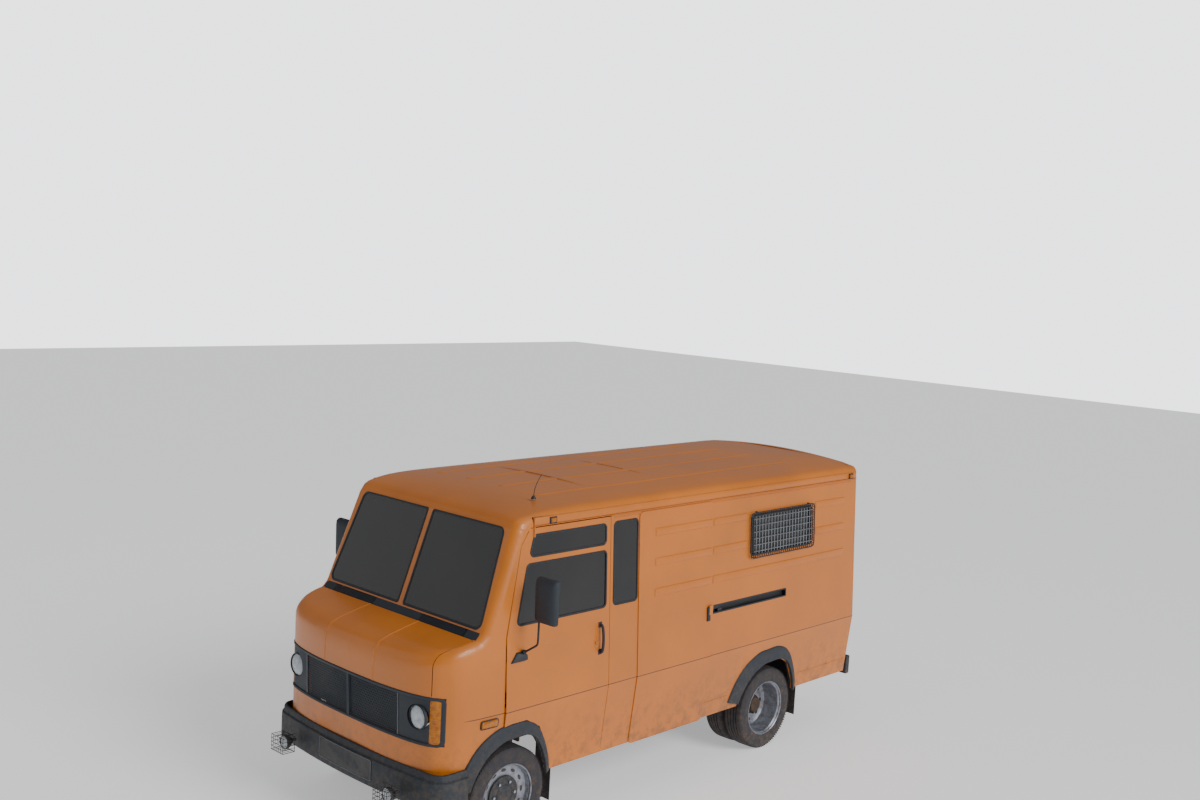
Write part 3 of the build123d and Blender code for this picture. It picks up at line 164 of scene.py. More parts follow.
# ---- The body's outer surface -------------------------------------------------------------
foot = 0.30
roof_arc = [(x, roof_height - 0.045 * (x / 0.8) ** 2) for x in np.linspace(0, 0.8, 12)]
half_section = [(float(half_width(foot)), foot), (waist_half, waist_height), (gutter_half, gutter_height),
                (0.957, 2.462), (0.944, 2.478), (0.925, 2.492)] + roof_arc[::-1]
section = np.array(half_section + [(-x, z) for x, z in half_section[::-1][1:]])
nose = smooth_run([(-0.790, 1.33), (-0.786, 1.40), (-0.745, 1.490), (-0.620, 1.545)])
brow = smooth_run([(-0.030, 2.368), (0.060, 2.450), (0.420, 2.538), (1.000, 2.565)])
tail = body_tail - front_axle
profile = np.array([(-0.700, foot), (-0.752, 0.870), (-0.788, 1.225)] + nose[4:]
                   + [(-0.480, 1.576), (-0.346, 1.604), (-0.302, 1.650), (-0.166, 2.009)] + brow
                   + [(tail, 2.565), (tail, foot)])
plan_half = smooth_run([(0.0, -0.790), (0.400, -0.770), (0.790, -0.685), (0.930, -0.583), (1.012, -0.420),
                        (1.058, -0.150)])
plan = np.array(plan_half + [(1.058, tail + 0.2), (-1.058, tail + 0.2)] + [(-x, y) for x, y in plan_half[::-1][:-1]])


def edge_radius(y):
    """Radius of the body's rounded edges: large round the cab, small at the rear."""
    return np.clip(0.085 - (y - 1.6) * 0.03, 0.03, 0.085)


def join_sides(a, b, c, radius):
    """One rounded body out of the distances from its section, its profile and its plan."""
    most = np.maximum(np.maximum(a, b), c)
    over = sum(np.maximum(d + radius, 0) ** 2 for d in (a, b, c))
    return np.minimum(most, -radius) + np.sqrt(over)


def body_gap(p):
    """Distance of points from the body's outer surface."""
    x, y, z = p[:, 0], p[:, 1] - front_axle, p[:, 2]
    return join_sides(away(section, x, z), away(profile, y, z), away(plan, x, y), edge_radius(y))


def slope(p, field, reach=0.0005):
    """Direction in which a field grows at each point."""
    out = np.empty_like(p)
    for k in range(3):
        step = np.zeros(3)
        step[k] = reach
        out[:, k] = (field(p + step) - field(p - step)) / (2 * reach)
    return out


def settle(p, rounds=3):
    """Move points onto the body's outer surface."""
    for _ in range(rounds):
        g = slope(p, body_gap)
        p = p - g * (body_gap(p) / np.maximum((g * g).sum(1), 0.2))[:, None]
    return p


def skin_net(low, high, step):
    """A triangle net over the part of the body's surface inside a box."""
    ax, ay, az = [np.arange(low[k], high[k] + step, step) for k in range(3)]
    back = ay - front_axle
    a = away(section, ax[:, None], az[None, :])
    b = away(profile, back[:, None], az[None, :])
    c = away(plan, ax[:, None], back[None, :])
    values = join_sides(a[:, None, :], b[None, :, :], c[:, :, None], edge_radius(back)[None, :, None])
    solid = values < 0
    corners = sum(solid[i:solid.shape[0] - 1 + i, j:solid.shape[1] - 1 + j, k:solid.shape[2] - 1 + k].astype(int)
                  for i in (0, 1) for j in (0, 1) for k in (0, 1))
    mixed = (corners > 0) & (corners < 8)
    number = np.full(mixed.shape, -1)
    number[mixed] = np.arange(mixed.sum())
    cells = np.argwhere(mixed)
    points = settle(np.array(low) + (cells + 0.5) * step, 5)
    quads = []
    for axis in range(3):
        here = np.moveaxis(solid, axis, 0)
        cell = np.moveaxis(number, axis, 0)
        change = here[:-1, 1:-1, 1:-1] != here[1:, 1:-1, 1:-1]
        i, j, k = np.nonzero(change)
        j, k = j + 1, k + 1
        quads.append(np.stack([cell[i, j - 1, k - 1], cell[i, j, k - 1], cell[i, j, k], cell[i, j - 1, k]], 1))
    quads = np.concatenate(quads)
    quads = quads[(quads >= 0).all(1)]
    d1 = np.linalg.norm(points[quads[:, 0]] - points[quads[:, 2]], axis=1)
    d2 = np.linalg.norm(points[quads[:, 1]] - points[quads[:, 3]], axis=1)
    first = np.where((d1 < d2)[:, None], quads[:, [0, 1, 2]], quads[:, [0, 1, 3]])
    second = np.where((d1 < d2)[:, None], quads[:, [0, 2, 3]], quads[:, [1, 2, 3]])
    faces = np.concatenate([first, second])
    outward = slope(points[faces].mean(1), body_gap)
    normal = np.cross(points[faces[:, 1]] - points[faces[:, 0]], points[faces[:, 2]] - points[faces[:, 0]])
    flip = (normal * outward).sum(1) < 0
    faces[flip] = faces[flip][:, ::-1]
    return points, faces


def score(points, faces, field, snap=0.006):
    """Cut a net along the line where a field is nothing, moving near points onto the line."""
    value = field(points)
    close = np.abs(value) < snap
    if close.any():
        moved = points[close]
        for _ in range(2):
            g = slope(moved, field)
            moved = moved - g * (field(moved) / np.maximum((g * g).sum(1), 0.5))[:, None]
            moved = settle(moved, 1)
        keep = np.linalg.norm(moved - points[close], axis=1) < snap * 2
        index = np.nonzero(close)[0][keep]
        points = points.copy()
        points[index] = moved[keep]
        value = field(points)
        value[index] = 0.0
    sign = np.sign(value)
    edges = np.sort(np.concatenate([faces[:, [0, 1]], faces[:, [1, 2]], faces[:, [2, 0]]]), axis=1)
    crossing = np.unique(edges[sign[edges[:, 0]] * sign[edges[:, 1]] < 0], axis=0)
    if len(crossing) == 0:
        return points, faces
    a, b = crossing[:, 0], crossing[:, 1]
    t = value[a] / (value[a] - value[b])
    fresh = settle(points[a] + (points[b] - points[a]) * t[:, None], 1)
    lookup = {(i, j): len(points) + n for n, (i, j) in enumerate(map(tuple, crossing))}
    points = np.concatenate([points, fresh])
    signs = sign[faces]
    plain = (signs.max(1) <= 0) | (signs.min(1) >= 0)
    out = [faces[plain]]
    extra = []
    for face in faces[~plain]:
        ring = []
        for k in range(3):
            i, j = face[k], face[(k + 1) % 3]
            ring.append(i)
            cut = lookup.get((min(i, j), max(i, j)))
            if cut is not None:
                ring.append(cut)
        marks = [n for n, v in enumerate(ring) if v >= len(sign) or sign[v] == 0]
        if len(marks) != 2:
            extra.append(face)
            continue
        m, n = marks
        for part in (ring[m:n + 1], ring[n:] + ring[:m + 1]):
            extra += [(part[0], part[k], part[k + 1]) for k in range(1, len(part) - 1)]
    out.append(np.array(extra).reshape(-1, 3))
    return points, np.concatenate(out).astype(int)


def keep_inside(points, faces, field, snap=0.006):
    """The part of a net where a field is below nothing, with a clean edge."""
    points, faces = score(points, faces, field, snap)
    faces = faces[field(points[faces].mean(1)) < 0]
    used, faces = np.unique(faces, return_inverse=True)
    return points[used], faces.reshape(-1, 3)


def net_normals(points, faces):
    """Normal of a net at each of its points."""
    normal = np.cross(points[faces[:, 1]] - points[faces[:, 0]], points[faces[:, 2]] - points[faces[:, 0]])
    out = np.zeros_like(points)
    for k in range(3):
        np.add.at(out, faces[:, k], normal)
    return out / np.maximum(np.linalg.norm(out, axis=1), 1e-12)[:, None]


def thicken(points, faces, wall, proud=0.0):
    """A closed sheet out of an open net: its outer face, its inner face and the edge between."""
    normal = net_normals(points, faces)
    n = len(points)
    both = np.concatenate([points + normal * proud, points - normal * wall])
    edges = np.concatenate([faces[:, [0, 1]], faces[:, [1, 2]], faces[:, [2, 0]]])
    key = np.sort(edges, axis=1)
    _, first, count = np.unique(key, axis=0, return_index=True, return_counts=True)
    rim = edges[first[count == 1]]
    rim_faces = np.concatenate([np.stack([rim[:, 1], rim[:, 0], rim[:, 0] + n], 1),
                                np.stack([rim[:, 1], rim[:, 0] + n, rim[:, 1] + n], 1)])
    return both, np.concatenate([faces, faces[:, ::-1] + n, rim_faces])


# ---- Mesh builders ------------------------------------------------------------------------
def loft(rings, closed=False, caps=True):
    """Faces between rings of points, with both ends filled unless the run is closed."""
    rings = [np.asarray(r, dtype=float) for r in rings]
    k, m = len(rings[0]), len(rings)
    faces = []
    for i in range(m if closed else m - 1):
        a, b = i * k, ((i + 1) % m) * k
        faces += [[a + j, a + (j + 1) % k, b + (j + 1) % k, b + j] for j in range(k)]
    if caps and not closed:
        faces += [list(range(k))[::-1], [(m - 1) * k + j for j in range(k)]]
    return np.concatenate(rings), faces


def tube(path, radius, sides=10, closed=False):
    """A round bar along a run of points."""
    path = [np.array(p, dtype=float) for p in path]
    n = len(path)
    rings, up = [], None
    for i, p in enumerate(path):
        ahead = path[(i + 1) % n] if closed or i < n - 1 else p
        back = path[i - 1] if closed or i > 0 else p
        run = (ahead - back) / np.linalg.norm(ahead - back)
        if up is None:
            up = np.cross(run, (0, 0, 1) if abs(run[2]) < 0.9 else (1, 0, 0))
        up = up - run * (up @ run)
        up /= np.linalg.norm(up)
        other = np.cross(run, up)
        r = radius[i] if isinstance(radius, (list, tuple)) else radius
        rings.append([p + r * (math.cos(a) * up + math.sin(a) * other)
                      for a in np.linspace(0, 2 * math.pi, sides, endpoint=False)])
    return loft(rings, closed)


def lathe(shape, centre, steps=72, side=1):
    """A turned piece round an axle, from (distance out along the axle, radius) points of a closed shape."""
    cx, cy, cz = centre
    rings = []
    for a in np.linspace(0, 2 * math.pi, steps, endpoint=False):
        rings.append([(side * (cx + u), cy + r * math.cos(a), cz + r * math.sin(a)) for u, r in shape])
    return loft(rings, closed=True)


def brick(x0, x1, y0, y1, z0, z1):
    """A block between two corners."""
    ring = [(x0, y0), (x1, y0), (x1, y1), (x0, y1)]
    return loft([[(x, y, z0) for x, y in ring], [(x, y, z1) for x, y in ring]])


def plate(outline, place, low, high, inner=None):
    """A flat piece with an outline, between two levels of a surface, or a ring when there is an inner outline."""
    if inner is None:
        return loft([[place(u, v, low) for u, v in outline], [place(u, v, high) for u, v in outline]])
    return loft([[place(u, v, low) for u, v in outline], [place(u, v, high) for u, v in outline],
                 [place(u, v, high) for u, v in inner], [place(u, v, low) for u, v in inner]], closed=True)


def grown(outline, amount):
    """An outline moved outward by an amount, corner by corner."""
    outline = np.asarray(outline)
    run = np.roll(outline, -1, 0) - np.roll(outline, 1, 0)
    run /= np.maximum(np.linalg.norm(run, axis=1), 1e-9)[:, None]
    area = np.sum(outline[:, 0] * np.roll(outline[:, 1], -1) - outline[:, 1] * np.roll(outline[:, 0], -1))
    normal = np.stack([run[:, 1], -run[:, 0]], 1) * (1 if area > 0 else -1)
    return outline + normal * amount


def seal(outline, place, width, proud, inner_drop=0.004):
    """A soft moulding round an outline: a low crowned ring."""
    shape = [(-0.5, -inner_drop), (-0.5, proud * 0.45), (-0.3, proud * 0.9), (0.0, proud), (0.3, proud * 0.85),
             (0.5, proud * 0.3), (0.5, -inner_drop)]
    rings = []
    for across, height in shape:
        rings.append([place(u, v, height) for u, v in grown(outline, across * width)])
    return loft(rings, closed=True)


def together(*solids):
    """Several meshes as one."""
    points, faces, start = [], [], 0
    for p, f in solids:
        points.append(np.asarray(p, dtype=float))
        faces += [[int(i) + start for i in face] for face in f]
        start += len(p)
    return np.concatenate(points), faces


def mirrored(solid):
    """The mirror image across the middle of the truck, with its faces turned back outward."""
    points, faces = solid
    return np.asarray(points) * (-1, 1, 1), [list(f)[::-1] for f in faces]


def on_left(y, z, height):
    """A place on the left side of the body."""
    return float(half_width(z)) + height, front_axle + y, z


def add_piece(name, solid, material, body, nodes=(), bevel=0.0, segments=2, angle=35, outward=True,
              flat_over=None):
    """Make a piece from a mesh, finish it, and hang it on its body."""
    points, faces = solid
    mesh = bpy.data.meshes.new(name)
    mesh.from_pydata(np.asarray(points).tolist(), [], [list(map(int, f)) for f in faces])
    mesh.validate()
    if outward:
        work = bmesh.new()
        work.from_mesh(mesh)
        bmesh.ops.remove_doubles(work, verts=work.verts, dist=1e-6)
        bmesh.ops.recalc_face_normals(work, faces=work.faces)
        work.to_mesh(mesh)
        work.free()
    mesh.materials.append(material)
    piece = bpy.data.objects.new(name, mesh)
    bpy.context.scene.collection.objects.link(piece)
    if bevel:
        round_off = piece.modifiers.new("Rounded edges", "BEVEL")
        round_off.width = bevel
        round_off.segments = segments
        round_off.limit_method = "ANGLE"
        round_off.angle_limit = math.radians(angle)
        bake_modifiers(piece)
    piece.data.shade_smooth()
    piece.data.set_sharp_from_angle(angle=math.radians(angle))
    if flat_over:
        for polygon in piece.data.polygons:
            polygon.use_smooth = polygon.area < flat_over
    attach(piece, body)
    if nodes:
        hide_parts(*nodes)
    return piece


def bake_modifiers(piece):
    """Turn a piece's modifiers into plain mesh."""
    graph = bpy.context.evaluated_depsgraph_get()
    done = bpy.data.meshes.new_from_object(piece.evaluated_get(graph), depsgraph=graph)
    piece.modifiers.clear()
    piece.data = done


def node_net(name):
    """A merged copy of a CAD node's mesh, as points and faces."""
    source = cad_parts[name].data
    work = bmesh.new()
    work.from_mesh(source)
    bmesh.ops.remove_doubles(work, verts=work.verts, dist=1e-5)
    bmesh.ops.dissolve_limit(work, angle_limit=math.radians(0.8), verts=work.verts, edges=work.edges)
    points = np.array([v.co for v in work.verts])
    faces = [[v.index for v in f.verts] for f in work.faces]
    work.free()
    return points, faces


def soften(node, material, body, bevel, keep=None, segments=2):
    """A finished copy of a CAD node with its edges rounded, standing in for it."""
    points, faces = node_net(node)
    if keep is not None:
        centres = [points[f].mean(0) for f in faces]
        faces = [f for f, c in zip(faces, centres) if keep(c)]
    return add_piece(node + "_finished", (points, faces), material, body, (node,), bevel=bevel,
                     segments=segments, outward=keep is None, flat_over=0.004)


# ---- Materials ----------------------------------------------------------------------------
def start_material(name):
    """A new material with its tree, its shader and object coordinates."""
    if name in bpy.data.materials:
        return bpy.data.materials[name], None, None, None
    material = bpy.data.materials.new(name)
    material.use_nodes = True
    tree = material.node_tree
    shader = tree.nodes["Principled BSDF"]
    where = add_node(tree, "ShaderNodeTexCoord").outputs["Object"]
    return material, tree, shader, where


def shade(tree, factor, low, high, start=0.0, end=1.0):
    """Two colours mixed by a factor that is stretched between two levels."""
    ramp = add_node(tree, "ShaderNodeMapRange", {"Value": factor, "From Min": start, "From Max": end})
    mix = add_node(tree, "ShaderNodeMix", {"Factor": ramp.outputs["Result"], 6: low, 7: high}, data_type="RGBA")
    return mix.outputs[2]


def grain(tree, where, scale, detail=4.0, roughness=0.55):
    """Fine noise over a piece, with its scale in repeats per metre."""
    return add_node(tree, "ShaderNodeTexNoise", {"Vector": where, "Scale": scale, "Detail": detail,
                                                  "Roughness": roughness}).outputs["Fac"]


def relief(tree, shader, height, depth, distance=0.001):
    """Raise a shader's surface by a height map."""
    bump = add_node(tree, "ShaderNodeBump", {"Height": height, "Strength": depth, "Distance": distance})
    tree.links.new(bump.outputs["Normal"], shader.inputs["Normal"])


def plain_finish(name, low, high, roughness, metallic=0.0, scale=60.0, bump=0.15, ior=None, spread=0.12,
                 road_dirt=0.0, coat=0.0, dirt_colour="#6E5A45"):
    """A finish with fine colour and gloss variation, and road dirt that thickens towards the ground."""
    material, tree, shader, where = start_material(name)
    if tree is None:
        return material
    fine = grain(tree, where, scale)
    broad = grain(tree, where, 3.0, 6.0, 0.6)
    colour = shade(tree, broad, linear(low), linear(high), 0.3, 0.7)
    if road_dirt:
        height = add_node(tree, "ShaderNodeSeparateXYZ", {"Vector": where}).outputs["Z"]
        low_down = add_node(tree, "ShaderNodeMapRange", {"Value": height, "From Min": 1.0, "From Max": 0.3}).outputs[0]
        spots = add_node(tree, "ShaderNodeMapRange", {"Value": grain(tree, where, 22.0, 8.0, 0.65), "From Min": 0.42,
                                                       "From Max": 0.68}).outputs[0]
        film = add_node(tree, "ShaderNodeMath", {0: low_down, 1: spots}, operation="MULTIPLY").outputs[0]
        film = add_node(tree, "ShaderNodeMath", {0: film, 1: road_dirt}, operation="MULTIPLY").outputs[0]
        colour = add_node(tree, "ShaderNodeMix", {"Factor": film, 6: colour, 7: linear(dirt_colour)},
                          data_type="RGBA").outputs[2]
    tree.links.new(colour, shader.inputs["Base Color"])
    gloss = add_node(tree, "ShaderNodeMapRange", {"Value": broad, "From Min": 0.3, "From Max": 0.7,
                                                   "To Min": max(roughness - spread, 0.03),
                                                   "To Max": min(roughness + spread, 1.0)}).outputs[0]
    tree.links.new(gloss, shader.inputs["Roughness"])
    shader.inputs["Metallic"].default_value = metallic
    if ior:
        shader.inputs["IOR"].default_value = ior
    if coat:
        shader.inputs["Coat Weight"].default_value = coat
        shader.inputs["Coat Roughness"].default_value = 0.12
    relief(tree, shader, fine, bump)
    return material


def body_enamel():
    """Sprayed alkyd enamel, weathered: soft gloss, faint orange peel, dust low down, and painted shade as a dark line
    along the waist crease.
    """
    name = "weathered_sprayed_enamel"
    material, tree, shader, where = start_material(name)
    if tree is None:
        return material
    tone = tuple(bpy.context.scene.mail_truck.paint) + (1.0,)
    faded = tuple(c * 0.86 for c in tone[:3]) + (1.0,)
    broad = grain(tree, where, 1.1, 5.0, 0.6)
    colour = shade(tree, broad, faded, tone, 0.35, 0.6)
    split = add_node(tree, "ShaderNodeSeparateXYZ", {"Vector": where})
    height = split.outputs["Z"]
    low_down = add_node(tree, "ShaderNodeMapRange", {"Value": height, "From Min": 1.05, "From Max": 0.40}).outputs[0]
    spots = add_node(tree, "ShaderNodeMapRange", {"Value": grain(tree, where, 9.0, 9.0, 0.7), "From Min": 0.45,
                                                   "From Max": 0.72}).outputs[0]
    film = add_node(tree, "ShaderNodeMath", {0: low_down, 1: spots}, operation="MULTIPLY").outputs[0]
    dusty = add_node(tree, "ShaderNodeMix", {"Factor": film, 6: colour, 7: linear("#6B4526")}, data_type="RGBA")
    rust_map = add_node(tree, "ShaderNodeMapRange", {"Value": grain(tree, where, 34.0, 9.0, 0.75), "From Min": 0.66,
                                                      "From Max": 0.72}).outputs[0]
    rust = add_node(tree, "ShaderNodeMath", {0: rust_map, 1: low_down}, operation="MULTIPLY").outputs[0]
    rusty = add_node(tree, "ShaderNodeMix", {"Factor": rust, 6: dusty.outputs[2], 7: linear("#5A3018")},
                     data_type="RGBA")
    # painted shade: a dark line along the waist crease on the sides stands in for the shade at the fold
    off = add_node(tree, "ShaderNodeMath", {0: height, 1: -waist_height}, operation="ADD").outputs[0]
    off = add_node(tree, "ShaderNodeMath", {0: off}, operation="ABSOLUTE").outputs[0]
    line = add_node(tree, "ShaderNodeMapRange", {"Value": off, "From Min": 0.0045, "From Max": 0.002}).outputs[0]
    out = add_node(tree, "ShaderNodeMath", {0: split.outputs["X"]}, operation="ABSOLUTE").outputs[0]
    out = add_node(tree, "ShaderNodeMapRange", {"Value": out, "From Min": 0.985, "From Max": 1.0}).outputs[0]
    line = add_node(tree, "ShaderNodeMath", {0: line, 1: out}, operation="MULTIPLY").outputs[0]
    crease_shaded = add_node(tree, "ShaderNodeMix", {"Factor": line, 6: rusty.outputs[2], 7: linear("#3A2414")},
                       data_type="RGBA")
    tree.links.new(crease_shaded.outputs[2], shader.inputs["Base Color"])
    gloss = add_node(tree, "ShaderNodeMapRange", {"Value": broad, "From Min": 0.3, "From Max": 0.7, "To Min": 0.34,
                                                   "To Max": 0.5}).outputs[0]
    tree.links.new(gloss, shader.inputs["Roughness"])
    shader.inputs["IOR"].default_value = 1.5
    shader.inputs["Coat Weight"].default_value = 0.25
    shader.inputs["Coat Roughness"].default_value = 0.15
    # orange peel about 4 mm across, drawn coarser than real so that it shows
    relief(tree, shader, grain(tree, where, 260.0, 2.0), 0.05)
    return material


def moulded_plastic():
    """Grained polypropylene, faded by the sun: dull blue-grey with dusty hollows."""
    return plain_finish("moulded_grained_plastic", "#1E242B", "#2A3139", 0.62, scale=420.0, bump=0.35, ior=1.49,
                        road_dirt=0.55)


def seal_rubber():
    """Extruded EPDM rubber: soft black with a faint bloom."""
    return plain_finish("extruded_seal_rubber", "#14171B", "#20242A", 0.58, scale=200.0, bump=0.1, ior=1.52)


def tinted_glass():
    """Toughened tinted glass: dark, clear and very smooth, with a faint film of dust."""
    material, tree, shader, where = start_material("toughened_tinted_glass")
    if tree is None:
        return material
    film = grain(tree, where, 2.2, 6.0, 0.6)
    tree.links.new(shade(tree, film, linear("#15171A"), linear("#262423"), 0.35, 0.75), shader.inputs["Base Color"])
    gloss = add_node(tree, "ShaderNodeMapRange", {"Value": film, "From Min": 0.35, "From Max": 0.75, "To Min": 0.03,
                                                   "To Max": 0.12}).outputs[0]
    tree.links.new(gloss, shader.inputs["Roughness"])
    shader.inputs["IOR"].default_value = 1.52
    shader.inputs["Transmission Weight"].default_value = 0.35
    return material


def lens(name, low, high, clear=0.5):
    """Moulded acrylic lens: saturated, glossy, with fine optic ribs in the relief."""
    material, tree, shader, where = start_material(name)
    if tree is None:
        return material
    tree.links.new(shade(tree, grain(tree, where, 30.0), linear(low), linear(high), 0.3, 0.7),
                   shader.inputs["Base Color"])
    ribs = add_node(tree, "ShaderNodeTexWave", {"Vector": where, "Scale": 40.0, "Distortion": 0.4},
                    bands_direction="Z").outputs["Fac"]
    relief(tree, shader, ribs, 0.4, 0.002)
    shader.inputs["Roughness"].default_value = 0.12
    shader.inputs["IOR"].default_value = 1.49
    shader.inputs["Transmission Weight"].default_value = clear
    return material


def tyre_rubber():
    """Vulcanised tyre rubber: near black, matt, with brown dust in the grooves and on the walls."""
    return plain_finish("vulcanised_tyre_rubber", "#26262A", "#35343A", 0.82, scale=150.0, bump=0.3, ior=1.52,
                        road_dirt=0.75, dirt_colour="#5E4C3C")


def rim_paint():
    """Aluminium-filled wheel enamel over pressed steel: soft silver with brake dust."""
    return plain_finish("silver_wheel_enamel", "#7D838D", "#A2A9B3", 0.42, metallic=0.55, scale=90.0, bump=0.12,
                        road_dirt=0.75, dirt_colour="#5A3B28")


def black_steel():
    """Powder-coated steel: satin black with a slight texture."""
    return plain_finish("powder_coated_steel", "#17191C", "#25282C", 0.5, scale=300.0, bump=0.25, ior=1.5,
                        road_dirt=0.3)


def chassis_steel():
    """Waxed chassis enamel: dull black under road dirt."""
    return plain_finish("waxed_chassis_enamel", "#1B1B1D", "#2B2A29", 0.7, scale=80.0, bump=0.4, ior=1.5,
                        road_dirt=0.8)


def cast_iron():
    """Sand-cast iron: rough grey-brown skin with rust."""
    return plain_finish("sand_cast_iron", "#3A3633", "#57483C", 0.75, metallic=0.6, scale=140.0, bump=0.6,
                        road_dirt=0.7)


def bright_wire():
    """Zinc-plated wire: pale grey metal with dull patches."""
    return plain_finish("zinc_plated_wire", "#8F939A", "#B9BDC4", 0.35, metallic=0.9, scale=200.0, bump=0.1)


def reflector():
    """Vacuum-metallised reflector: bright, slightly rippled mirror."""
    return plain_finish("metallised_reflector", "#B8BCC2", "#DDE1E6", 0.14, metallic=1.0, scale=60.0, bump=0.3,
                        spread=0.06)


def mirror_glass():
    """Silvered glass: a clean mirror with faint dust."""
    return plain_finish("silvered_mirror_glass", "#C4C9CF", "#DADEE3", 0.06, metallic=1.0, scale=20.0, bump=0.02,
                        spread=0.03)


def cab_plastic():
    """Moulded ABS trim: dark grey with a leather-like grain about 1 mm across."""
    return plain_finish("moulded_abs_trim", "#2B2C2F", "#3A3B3E", 0.6, scale=600.0, bump=0.4, ior=1.53)


def floor_mat():
    """Ribbed rubber floor covering with worn dusty paths."""
    return plain_finish("ribbed_floor_rubber", "#2E2E2E", "#4A4640", 0.75, scale=120.0, bump=0.5, ior=1.52)


def seat_vinyl():
    """Vinyl-coated cloth: dark grey leather grain with a soft sheen."""
    material, tree, shader, where = start_material("grained_seat_vinyl")
    if tree is None:
        return material
    cells = add_node(tree, "ShaderNodeTexVoronoi", {"Vector": where, "Scale": 420.0}).outputs["Distance"]
    broad = grain(tree, where, 5.0)
    tree.links.new(shade(tree, broad, linear("#2C2B2E"), linear("#403D3E"), 0.3, 0.7), shader.inputs["Base Color"])
    relief(tree, shader, cells, 0.35)
    shader.inputs["Roughness"].default_value = 0.48
    shader.inputs["IOR"].default_value = 1.5
    shader.inputs["Sheen Weight"].default_value = 0.15
    return material


def spring_steel():
    """Shot-peened spring steel under paint and rust."""
    return plain_finish("shot_peened_spring_steel", "#2E2A28", "#4B3B30", 0.68, metallic=0.4, scale=260.0, bump=0.4,
                        road_dirt=0.7)


def amber_lens():
    """Amber acrylic."""
    return lens("amber_acrylic", "#A65A05", "#D07F0E", 0.2)


def red_lens():
    """Red acrylic."""
    return lens("red_acrylic", "#6A0E0C", "#A31C16", 0.3)


def clear_lens():
    """Clear ribbed lamp glass."""
    return lens("pressed_lamp_glass", "#B9C4CE", "#EDF2F6", 0.35)


def line_paint():
    """The thin pale edging round the blank number plate."""
    return plain_finish("pale_edging_enamel", "#565B62", "#747A82", 0.45, scale=100.0, bump=0.05, ior=1.5)


# ---- Repeated shapes ----------------------------------------------------------------------
def lattice_tree():
    """Geometry nodes: one tile repeated over an upright lattice, with every other row moved half a step."""
    name = "Tile lattice"
    if name in bpy.data.node_groups:
        return bpy.data.node_groups[name]
    tree = bpy.data.node_groups.new(name, "GeometryNodeTree")
    for label, kind in (("Tile", "NodeSocketObject"), ("Columns", "NodeSocketInt"), ("Rows", "NodeSocketInt"),
                        ("Column pitch", "NodeSocketFloat"), ("Row pitch", "NodeSocketFloat"),
                        ("Stagger", "NodeSocketFloat"), ("Finish", "NodeSocketMaterial")):
        tree.interface.new_socket(name=label, in_out="INPUT", socket_type=kind)
    tree.interface.new_socket(name="Geometry", in_out="OUTPUT", socket_type="NodeSocketGeometry")
    given = add_node(tree, "NodeGroupInput").outputs
    count = add_node(tree, "ShaderNodeMath", {0: given["Columns"], 1: given["Rows"]}, operation="MULTIPLY")
    points = add_node(tree, "GeometryNodePoints", {"Count": count.outputs[0]})
    index = add_node(tree, "GeometryNodeInputIndex").outputs[0]
    row = add_node(tree, "ShaderNodeMath", {0: index, 1: given["Columns"]}, operation="DIVIDE")
    row = add_node(tree, "ShaderNodeMath", {0: row.outputs[0]}, operation="FLOOR").outputs[0]
    column = add_node(tree, "ShaderNodeMath", {0: index, 1: given["Columns"]}, operation="MODULO").outputs[0]
    odd = add_node(tree, "ShaderNodeMath", {0: row, 1: 2.0}, operation="MODULO").outputs[0]
    shift = add_node(tree, "ShaderNodeMath", {0: odd, 1: given["Stagger"], 2: column}, operation="MULTIPLY_ADD")
    x = add_node(tree, "ShaderNodeMath", {0: shift.outputs[0], 1: given["Column pitch"]}, operation="MULTIPLY")
    z = add_node(tree, "ShaderNodeMath", {0: row, 1: given["Row pitch"]}, operation="MULTIPLY")
    spot = add_node(tree, "ShaderNodeCombineXYZ", {"X": x.outputs[0], "Z": z.outputs[0]})
    placed = add_node(tree, "GeometryNodeSetPosition", {"Geometry": points.outputs[0], "Position": spot.outputs[0]})
    tile = add_node(tree, "GeometryNodeObjectInfo", {"Object": given["Tile"]})
    copies = add_node(tree, "GeometryNodeInstanceOnPoints", {"Points": placed.outputs[0],
                                                              "Instance": tile.outputs["Geometry"]})
    real = add_node(tree, "GeometryNodeRealizeInstances", {"Geometry": copies.outputs[0]})
    done = add_node(tree, "GeometryNodeSetMaterial", {"Geometry": real.outputs[0], "Material": given["Finish"]})
    add_node(tree, "NodeGroupOutput", {"Geometry": done.outputs[0]})
    return tree


